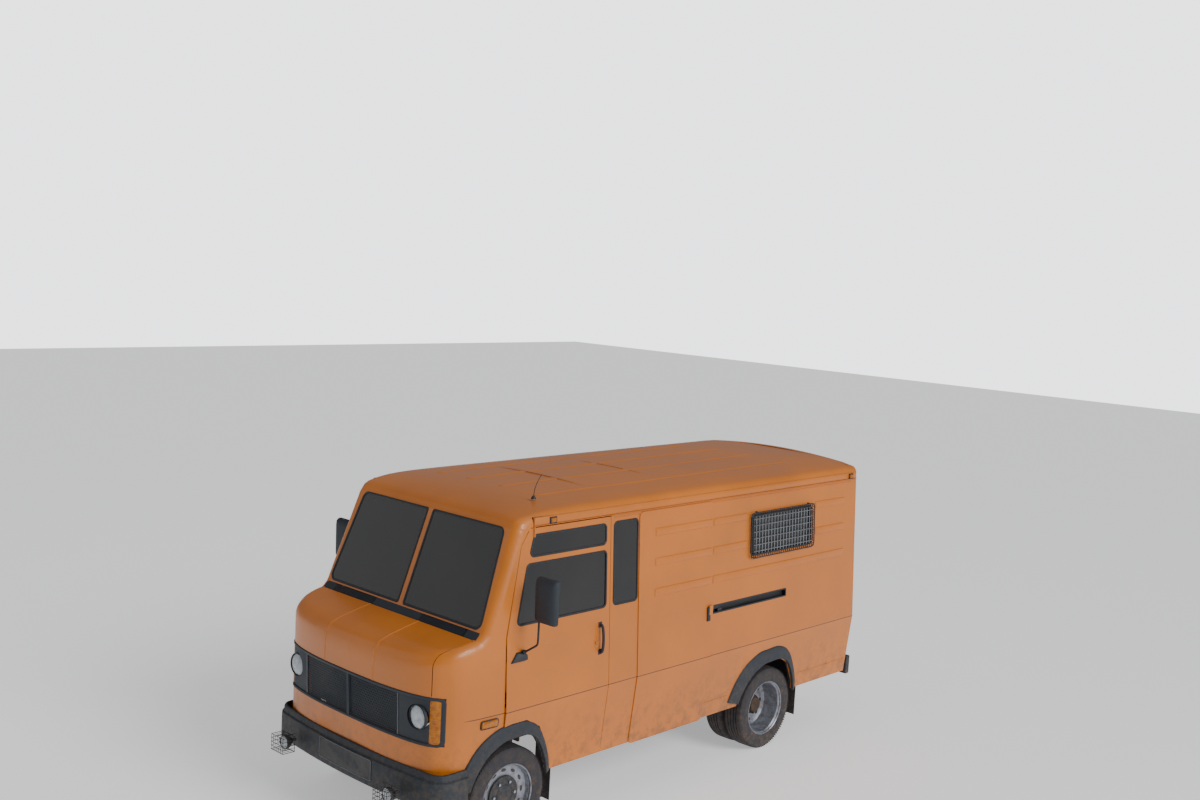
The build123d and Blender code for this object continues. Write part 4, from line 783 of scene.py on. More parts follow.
def ring_tree():
    """Geometry nodes: one tile repeated evenly round the Z axis at a radius."""
    name = "Tile ring"
    if name in bpy.data.node_groups:
        return bpy.data.node_groups[name]
    tree = bpy.data.node_groups.new(name, "GeometryNodeTree")
    for label, kind in (("Tile", "NodeSocketObject"), ("Count", "NodeSocketInt"), ("Radius", "NodeSocketFloat"),
                        ("Finish", "NodeSocketMaterial")):
        tree.interface.new_socket(name=label, in_out="INPUT", socket_type=kind)
    tree.interface.new_socket(name="Geometry", in_out="OUTPUT", socket_type="NodeSocketGeometry")
    given = add_node(tree, "NodeGroupInput").outputs
    points = add_node(tree, "GeometryNodePoints", {"Count": given["Count"]})
    index = add_node(tree, "GeometryNodeInputIndex").outputs[0]
    part = add_node(tree, "ShaderNodeMath", {0: index, 1: given["Count"]}, operation="DIVIDE").outputs[0]
    turn = add_node(tree, "ShaderNodeMath", {0: part, 1: 2 * math.pi}, operation="MULTIPLY").outputs[0]
    x = add_node(tree, "ShaderNodeMath", {0: turn}, operation="COSINE").outputs[0]
    y = add_node(tree, "ShaderNodeMath", {0: turn}, operation="SINE").outputs[0]
    x = add_node(tree, "ShaderNodeMath", {0: x, 1: given["Radius"]}, operation="MULTIPLY").outputs[0]
    y = add_node(tree, "ShaderNodeMath", {0: y, 1: given["Radius"]}, operation="MULTIPLY").outputs[0]
    spot = add_node(tree, "ShaderNodeCombineXYZ", {"X": x, "Y": y})
    placed = add_node(tree, "GeometryNodeSetPosition", {"Geometry": points.outputs[0], "Position": spot.outputs[0]})
    tile = add_node(tree, "GeometryNodeObjectInfo", {"Object": given["Tile"]})
    lean = add_node(tree, "ShaderNodeCombineXYZ", {"Z": turn})
    copies = add_node(tree, "GeometryNodeInstanceOnPoints", {"Points": placed.outputs[0],
                                                              "Instance": tile.outputs["Geometry"],
                                                              "Rotation": lean.outputs[0]})
    real = add_node(tree, "GeometryNodeRealizeInstances", {"Geometry": copies.outputs[0]})
    done = add_node(tree, "GeometryNodeSetMaterial", {"Geometry": real.outputs[0], "Material": given["Finish"]})
    add_node(tree, "NodeGroupOutput", {"Geometry": done.outputs[0]})
    return tree


def repeat(tree, tile, finish, **sizes):
    """Run one of the repeating trees on a tile and give back the points and faces it makes."""
    mesh = bpy.data.meshes.new("tile")
    mesh.from_pydata(np.asarray(tile[0]).tolist(), [], tile[1])
    work = bmesh.new()
    work.from_mesh(mesh)
    bmesh.ops.recalc_face_normals(work, faces=work.faces)
    work.to_mesh(mesh)
    work.free()
    tile_object = bpy.data.objects.new("tile", mesh)
    holder = bpy.data.objects.new("repeat", bpy.data.meshes.new("repeat"))
    for item in (tile_object, holder):
        bpy.context.scene.collection.objects.link(item)
    modifier = holder.modifiers.new("Repeat", "NODES")
    modifier.node_group = tree
    sockets = {item.name: item.identifier for item in tree.interface.items_tree if item.in_out == "INPUT"}
    modifier[sockets["Tile"]] = tile_object
    modifier[sockets["Finish"]] = finish
    for label, value in sizes.items():
        modifier[sockets[label.replace("_", " ")]] = value
    graph = bpy.context.evaluated_depsgraph_get()
    made = bpy.data.meshes.new_from_object(holder.evaluated_get(graph), depsgraph=graph)
    points = np.array([v.co for v in made.vertices])
    faces = [list(p.vertices) for p in made.polygons]
    for item in (holder, tile_object):
        bpy.data.objects.remove(item)
    if not len(points):
        raise RuntimeError("a repeated shape came out empty")
    return points, faces


def holed_tile(pitch_x, pitch_z, hole, wall=0.0012):
    """One tile of a perforated sheet: a six-sided edge that meets its neighbours, round a six-sided hole."""
    edge = [(-pitch_x / 2, -pitch_z / 3), (0, -pitch_z * 2 / 3), (pitch_x / 2, -pitch_z / 3),
            (pitch_x / 2, pitch_z / 3), (0, pitch_z * 2 / 3), (-pitch_x / 2, pitch_z / 3)]
    inner = [(x * hole, z * hole) for x, z in edge]
    return loft([[(x, 0.0, z) for x, z in edge], [(x, -wall, z) for x, z in edge],
                 [(x, -wall, z) for x, z in inner], [(x, 0.0, z) for x, z in inner]], closed=True)


# ---- Sizes and colours that a user may change ---------------------------------------------
class MailTruckSettings(bpy.types.PropertyGroup):
    """Sizes and colours of the truck's finish."""
    paint: FloatVectorProperty(name="Body paint", description="Colour of the enamel on the body", subtype="COLOR",
                               size=3, default=linear("#C87018")[:3], min=0.0, max=1.0)
    net_step: FloatProperty(name="Skin step", description="Size of the triangles that the rounded skins are made of",
                            default=0.024, min=0.015, max=0.06, unit="LENGTH")
    seal_width: FloatProperty(name="Seal width", description="Width of the rubber round each window", default=0.016,
                              min=0.01, max=0.05, unit="LENGTH")
    rib_height: FloatProperty(name="Rib height", description="How far the side pressings stand out", default=0.008,
                              min=0.002, max=0.012, unit="LENGTH")
    mesh_pitch: FloatProperty(name="Grille pitch", description="Distance between the holes of the grille",
                              default=0.0185, min=0.01, max=0.04, unit="LENGTH")
    nut_count: IntProperty(name="Wheel nuts", description="Nuts round each wheel", default=6, min=4, max=10)


# ---- Places on the body -------------------------------------------------------------------
def reach_surface(points, axis, outside, inside):
    """Slide points along one axis between two values until they meet the body's surface."""
    points = np.array(points, dtype=float)
    near_end = np.full(len(points), outside, dtype=float)
    far_end = np.full(len(points), inside, dtype=float)
    for _ in range(18):
        mid = (near_end + far_end) / 2
        points[:, axis] = mid
        out = body_gap(points) > 0
        near_end = np.where(out, mid, near_end)
        far_end = np.where(out, far_end, mid)
    return points


def on_nose(x, z, height):
    """Places on the front of the body, raised by a height along the surface's own direction."""
    p = reach_surface(np.stack([x, np.zeros_like(x), z], 1), 1, front_axle - 0.9, front_axle - 0.3)
    n = slope(p, body_gap)
    return p + n / np.linalg.norm(n, axis=1)[:, None] * np.asarray(height)[..., None]


def on_flank(y, z, height):
    """Places on the left side, with the curve round the front of the fender."""
    p = reach_surface(np.stack([np.zeros_like(y), y + front_axle, z], 1), 0, 1.15, 0.6)
    n = slope(p, body_gap)
    return p + n / np.linalg.norm(n, axis=1)[:, None] * np.asarray(height)[..., None]


def on_screen(x, z, height):
    """A place on the flat of the windscreen."""
    return x, front_axle - 0.302 + (z - 1.650) * 0.3788 - 0.935 * height, z + 0.354 * height


def moved(solid, change):
    """A mesh with its points changed by a function."""
    return change(np.asarray(solid[0])), solid[1]


def turned_forward(shape, cx, cz, steps=56):
    """A turned piece round a line along Y, from (Y, radius) points of a closed shape."""
    rings = [[(cx + r * math.cos(a), y, cz + r * math.sin(a)) for y, r in shape]
             for a in np.linspace(0, 2 * math.pi, steps, endpoint=False)]
    return loft(rings, closed=True)


def at(y):
    """Y of a place this far behind the front axle."""
    return front_axle + y


arch_shape = [(0.0, 0.0), (0.05, 0.42), (0.18, 0.78), (0.36, 0.97), (0.5, 1.0), (0.66, 1.0), (0.81, 0.86),
              (0.94, 0.45), (1.0, 0.0)]
wheelbase = rear_axle - front_axle
front_arch, front_gap = (-0.520, 0.430, 0.944), (-0.405, 0.385, 0.835)
rear_arch = (wheelbase - 0.620, wheelbase + 0.450, 0.950)
rear_gap = (wheelbase - 0.470, wheelbase + 0.405, 0.830)


def arch_line(span, low=0.36):
    """The line of a wheel arch from its front foot to its rear foot."""
    start, end, top = span
    run = [(start + u * (end - start), low + v * (top - low)) for u, v in arch_shape]
    return np.array(smooth_run(run, 4))


def block_gap(p, low, high):
    """Distance outside a block, near enough to cut with."""
    low, high = np.array(low), np.array(high)
    return np.maximum(low - p, p - high).max(1)


hood_edge = rounded([(0.932, -0.354), (0.917, -0.449), (0.850, -0.640), (0.812, -0.900), (-0.812, -0.900),
                     (-0.850, -0.640), (-0.917, -0.449), (-0.932, -0.354)],
                    [0.03, 0.25, 0.3, 0, 0, 0.3, 0.25, 0.03])
door_outline = [(-0.110, 0.478), (-0.110, 1.600), (0.022, 2.250), (0.110, 2.368), (0.962, 2.368), (0.962, 0.478)]
top_light = rounded([(0.104, 2.160), (0.150, 2.316), (0.912, 2.316), (0.912, 2.160)], 0.034)
drop_light = rounded([(-0.016, 1.670), (0.084, 2.107), (0.918, 2.107), (0.918, 1.670)], 0.034)
narrow_light = rounded([(1.003, 1.670), (1.003, 2.320), (1.276, 2.320), (1.276, 1.670)], 0.034)
quarter_light = rounded([(2.750, 1.840), (2.750, 2.190), (3.650, 2.190), (3.650, 1.840)], 0.034)
screen_light = rounded([(0.034, 1.668), (0.034, 2.362), (0.842, 2.362), (0.918, 1.668)], [0.012, 0.012, 0.05, 0.05])


def hood_gap(p, grow=0.0):
    """Distance outside the hood's outline, from above."""
    return np.maximum(away(hood_edge, p[:, 0], p[:, 1] - front_axle) - grow, 1.228 - grow - p[:, 2])


def cowl_gap(p):
    """Distance outside the dark cowl between hood and windscreen."""
    return block_gap(p, (-0.936, at(-0.350), 1.56), (0.936, at(-0.303), 1.69))


def grille_gap(p):
    """Distance outside the grille's opening."""
    return block_gap(p, (-0.926, at(-0.9), 0.872), (0.926, at(-0.45), 1.224))


def screen_gap(p):
    """Distance outside the two windscreen panes."""
    return np.maximum(away(screen_light, np.abs(p[:, 0]), p[:, 2]), p[:, 1] - at(0.05))


def front_gap_field(p):
    """Distance outside the cab front's outline on the side view."""
    y, z = p[:, 1] - front_axle, p[:, 2]
    front = away(np.array([(-1.0, 0.3), (-1.0, 2.372), (0.106, 2.372), (0.018, 2.25), (-0.114, 1.6), (-0.114, 0.3)]),
                 y, z)
    ring = np.maximum(away(arch_line(front_arch), y, z), z - 0.944)
    return np.minimum(front, ring)


def cut_all(net, *fields):
    """A net cut by several fields in turn."""
    for field in fields:
        net = keep_inside(net[0], net[1], field)
    return net


nets = {}


def front_net():
    """The net over the front of the body, made once."""
    if "front" not in nets:
        step = bpy.context.scene.mail_truck.net_step
        nets["front"] = skin_net((-1.1, at(-0.86), 0.40), (1.1, at(0.52), 2.44), step)
    return nets["front"]


# ---- Operators ----------------------------------------------------------------------------
class TRUCK_OT_cab_front(bpy.types.Operator):
    """Fenders, nose, windscreen pillars, cowl and the posts that carry the doors"""
    bl_idname = "mail_truck.cab_front"
    bl_label = "Cab front"

    def execute(self, context):
        paint, plastic, body = body_enamel(), moulded_plastic(), "body_and_chassis"
        net = cut_all(front_net(), front_gap_field, lambda p: 0.484 - p[:, 2],
                      lambda p: -away(arch_line(front_gap), p[:, 1] - front_axle, p[:, 2]),
                      lambda p: -hood_gap(p, 0.004), lambda p: -cowl_gap(p), lambda p: -grille_gap(p),
                      lambda p: -screen_gap(p))
        add_piece("cab_front_skin", thicken(*net, 0.003), paint, body, ("cab_front_shell",),
                  outward=False)
        posts = []
        hinge_y = at(-0.065)
        for height in (1.150, 1.480):
            for level in (height - 0.0543, height + 0.0303):
                posts.append(brick(0.930, 1.000, hinge_y - 0.010, hinge_y + 0.010, level, level + 0.024))
        post = together(brick(0.890, 0.935, hinge_y - 0.060, hinge_y + 0.025, 0.871, 1.560), *posts)
        add_piece("cab_door_posts", together(post, mirrored(post)), paint, body, (), bevel=0.002)
        pins = together(*[tube([(1.0, hinge_y, h - 0.05), (1.0, hinge_y, h + 0.05)], 0.007, 14) for h in (1.15, 1.48)])
        add_piece("cab_door_pins", together(pins, mirrored(pins)), bright_wire(), body, ())
        cowl = cut_all(front_net(), cowl_gap)
        solid = [thicken(*cut_all(cowl, lambda p, a=a, b=b: block_gap(p, (a, -9, 0), (b, 9, 3))), 0.003)
                 for a, b in ((-0.936, -0.80), (-0.28, 0.28), (0.80, 0.936))]
        add_piece("cowl_panels", together(*[(p, f.tolist()) for p, f in solid]), plastic, body, ("cowl_vent",),
                  outward=False)
        pitch = 0.0135
        tile = holed_tile(pitch, pitch * 0.9, 0.62)
        vents = repeat(lattice_tree(), tile, plastic, Columns=38, Rows=5, Column_pitch=pitch, Row_pitch=pitch * 0.9,
                       Stagger=0.5)

        def lay(p):
            x = p[:, 0] + 0.284
            run = p[:, 2] + 0.004
            return np.stack([x, at(-0.346) + run * 0.69 + p[:, 1] * 0.7, 1.603 + run * 0.72 - p[:, 1] * 0.7], 1)
        vent = moved(vents, lay)
        add_piece("cowl_vents", together(vent, mirrored(vent)), plastic, body, (), outward=False,
                  angle=20)
        rubber = seal_rubber()
        ring = seal(screen_light, on_screen, 0.018, 0.006)
        add_piece("windscreen_seals", together(ring, mirrored(ring)), rubber, body, ())
        return {"FINISHED"}


class TRUCK_OT_hood(bpy.types.Operator):
    """The hood's skin with its two long creases, and its hinge eyes"""
    bl_idname = "mail_truck.hood"
    bl_label = "Hood"

    def execute(self, context):
        points, faces = cut_all(front_net(), hood_gap, lambda p: p[:, 1] - at(-0.354))
        for line in (0.292, 0.300, 0.308, -0.292, -0.300, -0.308):
            points, faces = score(points, faces, lambda p, c=line: p[:, 0] - c, 0.003)
        normal = net_normals(points, faces)
        across = np.abs(np.abs(points[:, 0]) - 0.300)
        points = points + normal * (0.004 * np.clip(1 - across / 0.008, 0, 1))[:, None]
        add_piece("hood_skin", thicken(points, faces, 0.003), body_enamel(), "hood", ("hood",),
                  outward=False, angle=25)
        eyes = []
        axis_y, axis_z = at(-0.360), 1.574
        for middle_x in (0.53, -0.53):
            eyes.append(tube([(middle_x - 0.029, axis_y, axis_z), (middle_x + 0.029, axis_y, axis_z)], 0.012, 18))
            eyes.append(brick(middle_x - 0.028, middle_x + 0.028, axis_y - 0.006, axis_y + 0.006, axis_z, axis_z + 0.021))
        add_piece("hood_hinge_eyes", together(*eyes), black_steel(), "hood", ())
        return {"FINISHED"}


class TRUCK_OT_roof(bpy.types.Operator):
    """The domed roof with its pressed ribs, and the aerial"""
    bl_idname = "mail_truck.roof"
    bl_label = "Roof"

    def execute(self, context):
        step = bpy.context.scene.mail_truck.net_step * 1.2
        net = skin_net((-1.1, at(-0.25), 2.30), (1.1, body_tail + 0.1, 2.64), step)

        def band(p):
            return np.maximum(np.maximum(0.88 - np.abs(p[:, 0]), p[:, 2] - 2.445), at(0.138) - p[:, 1])
        points, faces = cut_all(net, lambda p: 2.372 - p[:, 2], lambda p: -band(p), lambda p: p[:, 1] - (body_tail - 0.06))
        for middle_x in (0.19, 0.58):
            for edge in (0.022, 0.032):
                points, faces = score(points, faces, lambda p, c=middle_x, e=edge: np.maximum(
                    np.abs(np.abs(p[:, 0]) - c) - e, np.abs(p[:, 1] - at(2.1)) - 1.6 - (e - 0.022)), 0.003)
        normal = net_normals(points, faces)
        rise = np.zeros(len(points))
        for middle_x in (0.19, 0.58):
            out = np.maximum(np.abs(np.abs(points[:, 0]) - middle_x) - 0.022, np.abs(points[:, 1] - at(2.1)) - 1.6)
            rise = np.maximum(rise, np.clip(1 - out / 0.010, 0, 1))
        points = points + normal * (0.005 * rise)[:, None]
        add_piece("roof_skin", thicken(points, faces, 0.003), body_enamel(), "body_and_chassis", ("roof_panel",),
                  outward=False, angle=25)
        bows = []
        for k in range(4):
            y = at(1.10) + k * 0.86
            arc = np.array([(x, roof_height - 0.045 * (x / 0.8) ** 2) for x in np.linspace(-0.84, 0.84, 25)])
            low = [(x, z - 0.040) for x, z in arc]
            top = [(x, z - 0.014) for x, z in arc[::-1]]
            bows.append(loft([[(x, y, z) for x, z in low + top], [(x, y + 0.04, z) for x, z in low + top]]))
        add_piece("roof_bows", together(*bows), body_enamel(), "body_and_chassis", (), bevel=0.002)
        low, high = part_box("aerial")
        foot_x, foot_y = middle("aerial", 0), at(0.380)
        base = [(0.0, 0.0001), (0.0, 0.020), (0.010, 0.017), (0.024, 0.008), (0.028, 0.0001)]
        rings = [[(foot_x + r * math.cos(a), foot_y + r * math.sin(a), 2.518 + z) for z, r in base]
                 for a in np.linspace(0, 2 * math.pi, 24, endpoint=False)]
        whip = smooth_run([(foot_x, foot_y, 2.535), (foot_x, foot_y + 0.012, 2.60), (foot_x, foot_y + 0.045, 2.66),
                           (foot_x, foot_y + 0.075, high[2] - 0.004)], 6)
        add_piece("aerial_whip", together(loft(rings, closed=True), tube(whip, 0.0028, 8)), black_steel(),
                  "body_and_chassis", ("aerial",))
        return {"FINISHED"}


def side_strip(y0, y1, z0, z1, proud, chamfer=0.008, lift=0.0):
    """A pressed bar on the left side: a raised bar with sloping edges."""
    lower = [(y0, z0), (y1, z0), (y1, z1), (y0, z1)]
    upper = [(y0 + chamfer, z0 + chamfer), (y1 - chamfer, z0 + chamfer), (y1 - chamfer, z1 - chamfer),
             (y0 + chamfer, z1 - chamfer)]
    return loft([[on_left(y, z, lift - 0.001) for y, z in lower], [on_left(y, z, lift + 0.0006) for y, z in lower],
                 [on_left(y, z, lift + proud) for y, z in upper]])


rib_bands = [(1.663, 1.733), (1.912, 1.980), (2.155, 2.222)]


class TRUCK_OT_sides(bpy.types.Operator):
    """Body sides: pressings, gutters, window rubbers, wire guards and the door rail"""
    bl_idname = "mail_truck.sides"
    bl_label = "Body sides"

    def execute(self, context):
        settings = context.scene.mail_truck
        paint, rubber, body = body_enamel(), seal_rubber(), "body_and_chassis"
        for node in ("left_side_panel", "right_side_panel"):
            soften(node, paint, body, 0.0012)
        ribs = []
        for low, high in rib_bands:
            spans = ((2.228, 2.690), (3.715, 4.190)) if low > 1.75 else ((2.228, 4.190),)
            ribs += [side_strip(a, b, low, high, settings.rib_height) for a, b in spans]
        left = together(*ribs)
        plain = []
        for low, high in rib_bands:
            spans = ((1.480, 2.690), (3.715, 4.190)) if low > 1.75 else ((1.480, 4.190),)
            plain += [side_strip(a, b, low, high, settings.rib_height) for a, b in spans]
        add_piece("side_pressings", together(left, mirrored(together(*plain))), paint, body, (),
                  bevel=0.002)
        gutter = together(side_strip(0.138, 4.370, 2.385, 2.444, 0.010, 0.003), side_strip(0.138, 4.370, 2.379, 2.387, 0.020, 0.002),
                          side_strip(0.138, 0.152, 2.30, 2.444, 0.012, 0.003), side_strip(1.0, 4.30, 2.352, 2.360, 0.004, 0.002))
        add_piece("gutters", together(gutter, mirrored(gutter)), paint, body, (), bevel=0.0015)
        hem = together(side_strip(1.300, 2.600, 0.612, 0.620, 0.003, 0.002), side_strip(3.62, 4.36, 0.612, 0.620, 0.003, 0.002))
        add_piece("sill_folds", together(hem, mirrored(hem)), paint, body, ())
        seals = together(seal(narrow_light, on_left, settings.seal_width, 0.006),
                         seal(quarter_light, on_left, settings.seal_width, 0.006))
        add_piece("side_window_rubbers", together(seals, mirrored(seals)), rubber, body, ())
        border = [(2.720, 1.810), (2.720, 2.220), (3.680, 2.220), (3.680, 1.810)]
        wires = []
        for inset in (0.006, 0.034):
            ring = rounded([(y + (inset if y < 3 else -inset), z + (inset if z < 2 else -inset)) for y, z in border], 0.045)
            wires.append(tube([on_left(y, z, 0.024) for y, z in ring], 0.0052, 8, closed=True))
        for k in range(17):
            z = 1.824 + k * (2.206 - 1.824) / 16
            wires.append(tube([on_left(2.726, z, 0.024), on_left(2.754, z, 0.024)], 0.0035, 6))
            wires.append(tube([on_left(3.646, z, 0.024), on_left(3.674, z, 0.024)], 0.0035, 6))
        for k in range(29):
            y = 2.760 + k * 0.88 / 28
            wires.append(tube([on_left(y, 1.816, 0.024), on_left(y, 1.844, 0.024)], 0.0035, 6))
            wires.append(tube([on_left(y, 2.186, 0.024), on_left(y, 2.214, 0.024)], 0.0035, 6))
        strands = []
        for k in range(1, 20):
            y = 2.754 + k * 0.892 / 20
            strands.append(tube([on_left(y, 1.844, 0.021), on_left(y, 2.186, 0.021)], 0.0024, 6))
        for k in range(1, 7):
            z = 1.816 + k * 0.398 / 7
            strands.append(tube([on_left(2.754, z, 0.026), on_left(3.646, z, 0.026)], 0.0024, 6))
        for y in (2.81, 3.59):
            for z in (1.812, 2.218):
                wires.append(tube([on_left(y, z, 0.0), on_left(y, z, 0.024)], 0.005, 8))
        guard = together(*wires)
        add_piece("window_wire_guards", together(guard, mirrored(guard)), black_steel(), body, ("window_guards",))
        mesh = together(*strands)
        add_piece("window_wire_mesh", together(mesh, mirrored(mesh)), bright_wire(), body, ())
        channel = rounded([(2.186, 1.407), (2.186, 1.471), (3.282, 1.471), (3.282, 1.407)], 0.004, 2)
        add_piece("rail_border", seal(channel, on_left, 0.012, 0.005), moulded_plastic(), body, ())
        return {"FINISHED"}


class TRUCK_OT_cab_doors(bpy.types.Operator):
    """Cab doors: skins, window rubbers, grab bars and push-button dishes"""
    bl_idname = "mail_truck.cab_doors"
    bl_label = "Cab doors"

    def execute(self, context):
        settings = context.scene.mail_truck
        paint, rubber, plastic = body_enamel(), seal_rubber(), moulded_plastic()
        for side, sign in (("left", 1), ("right", -1)):
            body = side + "_cab_door"
            soften(body, paint, body, 0.0012,
                   keep=lambda c, s=sign: s * c[0] < float(half_width(c[2])) + 0.0012 or c[1] < at(-0.12))
            turn = mirrored if sign < 0 else (lambda solid: solid)
            rings = together(seal(top_light, on_left, settings.seal_width, 0.006),
                             seal(drop_light, on_left, settings.seal_width, 0.006))
            add_piece(side + "_door_rubbers", turn(rings), rubber, body, ())
            y = 0.858
            bow = smooth_run([on_left(y, 1.322, 0.000), on_left(y, 1.334, 0.026), on_left(y, 1.378, 0.036),
                              on_left(y, 1.432, 0.039), on_left(y, 1.486, 0.036), on_left(y, 1.530, 0.026),
                              on_left(y, 1.542, 0.000)], 5)
            bar = tube(bow, 0.0115, 12)
            caps = together(*[side_strip(y - 0.020, y + 0.020, z - 0.022, z + 0.022, 0.006, 0.005) for z in (1.326, 1.538)])
            add_piece(side + "_grab_bar", turn(together(bar, caps)), plastic, body, (), bevel=0.001)
            dish = np.array([(0.816 + 0.020 * math.cos(a), 1.405 + 0.034 * math.sin(a))
                             for a in np.linspace(0, 2 * math.pi, 36, endpoint=False)])
            lip = seal(dish, on_left, 0.010, 0.004)
            add_piece(side + "_button_dish", turn(lip), paint, body, ())
            foot = loft([[on_left(u, v, -0.001) for u, v in ((-0.075, 1.402), (0.077, 1.402), (0.070, 1.462), (0.020, 1.477), (-0.020, 1.477))],
                         [on_left(u, v, 0.012) for u, v in ((-0.068, 1.406), (0.070, 1.406), (0.064, 1.460), (0.022, 1.472), (-0.014, 1.472))],
                         [on_left(u, v, 0.036) for u, v in ((0.008, 1.420), (0.066, 1.420), (0.062, 1.456), (0.045, 1.464), (0.020, 1.464))]])
            pin = tube([on_left(0.040, 1.460, 0.018), on_left(0.040, 1.492, 0.020)], 0.008, 16)
            add_piece(side + "_mirror_foot", turn(together(foot, pin)), plastic, body, (), bevel=0.003)
        return {"FINISHED"}


class TRUCK_OT_mirrors(bpy.types.Operator):
    """Mirror arms, heads and glasses"""
    bl_idname = "mail_truck.mirrors"
    bl_label = "Mirrors"

    def execute(self, context):
        plastic, steel = moulded_plastic(), black_steel()
        for side, sign in (("left", 1), ("right", -1)):
            turn = mirrored if sign < 0 else (lambda solid: solid)
            root_x, root_y = float(half_width(1.44)) + 0.018, at(0.040)
            stem_x, stem_y = 1.164, at(0.050)
            collar = tube([(root_x, root_y, 1.4625), (root_x, root_y, 1.488)], 0.017, 24)
            run = smooth_run([(root_x, root_y, 1.476), (root_x + 0.030, root_y, 1.492), (stem_x - 0.035, stem_y, 1.535),
                              (stem_x - 0.006, stem_y, 1.560), (stem_x, stem_y, 1.600)], 6)
            run += [np.array((stem_x, stem_y, z)) for z in (1.66, 1.72, 1.80)]
            add_piece(side + "_mirror_bar", turn(together(collar, tube(run, 0.0078, 14))), steel, side + "_mirror_arm",
                      (side + "_mirror_arm",))
            shell = []
            for depth, shrink, radius in ((0.030, 0.004, 0.020), (0.026, 0.0, 0.024), (0.004, 0.000, 0.026),
                                          (-0.014, 0.006, 0.030), (-0.028, 0.022, 0.030), (-0.033, 0.046, 0.020)):
                ring = rounded([(1.126 + shrink, 1.724 + shrink), (1.126 + shrink * 0.6, 2.056 - shrink * 1.4),
                                (1.334 - shrink, 2.056 - shrink), (1.334 - shrink * 1.6, 1.724 + shrink)], radius, 5)
                shell.append([(x, at(0.050) + depth, z) for x, z in ring])
            glass = rounded([(1.136, 1.734), (1.136, 2.046), (1.324, 2.046), (1.324, 1.734)], 0.018, 5)
            pane = loft([[(x, at(0.050) + 0.0290, z) for x, z in glass], [(x, at(0.050) + 0.0315, z) for x, z in glass]])
            body = side + "_mirror_head"
            add_piece(side + "_mirror_shell", turn(loft(shell)), plastic, body, (body,), bevel=0.0015)
            add_piece(side + "_mirror_pane", turn(pane), mirror_glass(), body, ())
        return {"FINISHED"}


class TRUCK_OT_sliding_door(bpy.types.Operator):
    """The sliding door's skin and its share of the side pressings"""
    bl_idname = "mail_truck.sliding_door"
    bl_label = "Sliding door"

    def execute(self, context):
        paint = body_enamel()
        soften("sliding_door", paint, "sliding_door", 0.0012)
        proud = context.scene.mail_truck.rib_height
        ribs = [side_strip(1.480, 2.200, low, high, proud, lift=0.0065) for low, high in rib_bands]
        add_piece("sliding_door_pressings", together(*ribs), paint, "sliding_door", (), bevel=0.002)
        cover = side_strip(2.150, 2.190, 1.352, 1.476, 0.022, 0.005)
        add_piece("sliding_door_lug_cover", cover, moulded_plastic(), "sliding_door", (), bevel=0.002)
        return {"FINISHED"}


class TRUCK_OT_rear(bpy.types.Operator):
    """Rear frame, rear doors with pressed panels, latch handle, tail lamps and bumper"""
    bl_idname = "mail_truck.rear"
    bl_label = "Rear"

    def execute(self, context):
        paint, plastic, body = body_enamel(), moulded_plastic(), "body_and_chassis"
        soften("rear_frame", paint, body, 0.006, segments=3)
        for side, sign in (("left", 1), ("right", -1)):
            node = "rear_" + side + "_door"
            soften(node, paint, node, 0.002)
            panels = []
            for z0, z1 in ((0.72, 1.06), (1.34, 1.70)):
                outline = rounded([(0.10, z0), (0.10, z1), (0.80, z1), (0.80, z0)], 0.03)
                panels.append(loft([[(x, body_tail - 0.001, z) for x, z in outline],
                                    [(x, body_tail + 0.0005, z) for x, z in outline],
                                    [(x, body_tail + 0.006, z) for x, z in grown(outline, -0.009)]]))
            pane = rounded([(0.14, 1.80), (0.14, 2.24), (0.78, 2.24), (0.78, 1.80)], 0.05)
            ring = seal(pane, lambda u, v, h: (u, body_tail + h, v), 0.028, 0.008)
            glass = loft([[(x, body_tail + 0.0005, z) for x, z in pane], [(x, body_tail + 0.003, z) for x, z in pane]])
            turn = mirrored if sign < 0 else (lambda solid: solid)
            add_piece(node + "_pressings", turn(together(*panels)), paint, node, (), bevel=0.002)
            add_piece(node + "_rubber", turn(ring), seal_rubber(), node, ())
            add_piece(node + "_pane", turn(glass), tinted_glass(), node, (), bevel=0.001)
        soften("rear_door_handle", black_steel(), "rear_door_handle", 0.003)
        soften("rear_bumper", plastic, body, 0.010, segments=3)
        lamps = []
        for z0, z1 in ((0.702, 0.785), (0.789, 0.872), (0.876, 0.958)):
            ring = rounded([(0.9145, z0), (0.9145, z1), (0.9595, z1), (0.9595, z0)], 0.006)
            lamps.append(loft([[(x, body_tail + 0.001, z) for x, z in ring], [(x, body_tail + 0.018, z) for x, z in ring],
                               [(x, body_tail + 0.0235, z) for x, z in grown(ring, -0.004)]]))
        for group, finish, name in ((lamps[:1] + lamps[2:], red_lens(), "tail_lamps"), (lamps[1:2], amber_lens(), "tail_indicators")):
            one = together(*group)
            add_piece(name, together(one, mirrored(one)), finish, body, ("body_lamps",), bevel=0.001)
        marks, tips = [], []
        for start in (0.290, wheelbase + 1.090):
            marks.append(side_strip(start, start + 0.076, 2.384, 2.438, 0.018, 0.004, 0.0005))
            tips.append(side_strip(start + 0.012, start + 0.064, 2.394, 2.428, 0.007, 0.004, 0.0185))
        one, two = together(*marks), together(*tips)
        add_piece("marker_lamp_bases", together(one, mirrored(one)), plastic, body, (), bevel=0.001)
        add_piece("marker_lamp_lenses", together(two, mirrored(two)), amber_lens(), body, (), bevel=0.001)
        return {"FINISHED"}


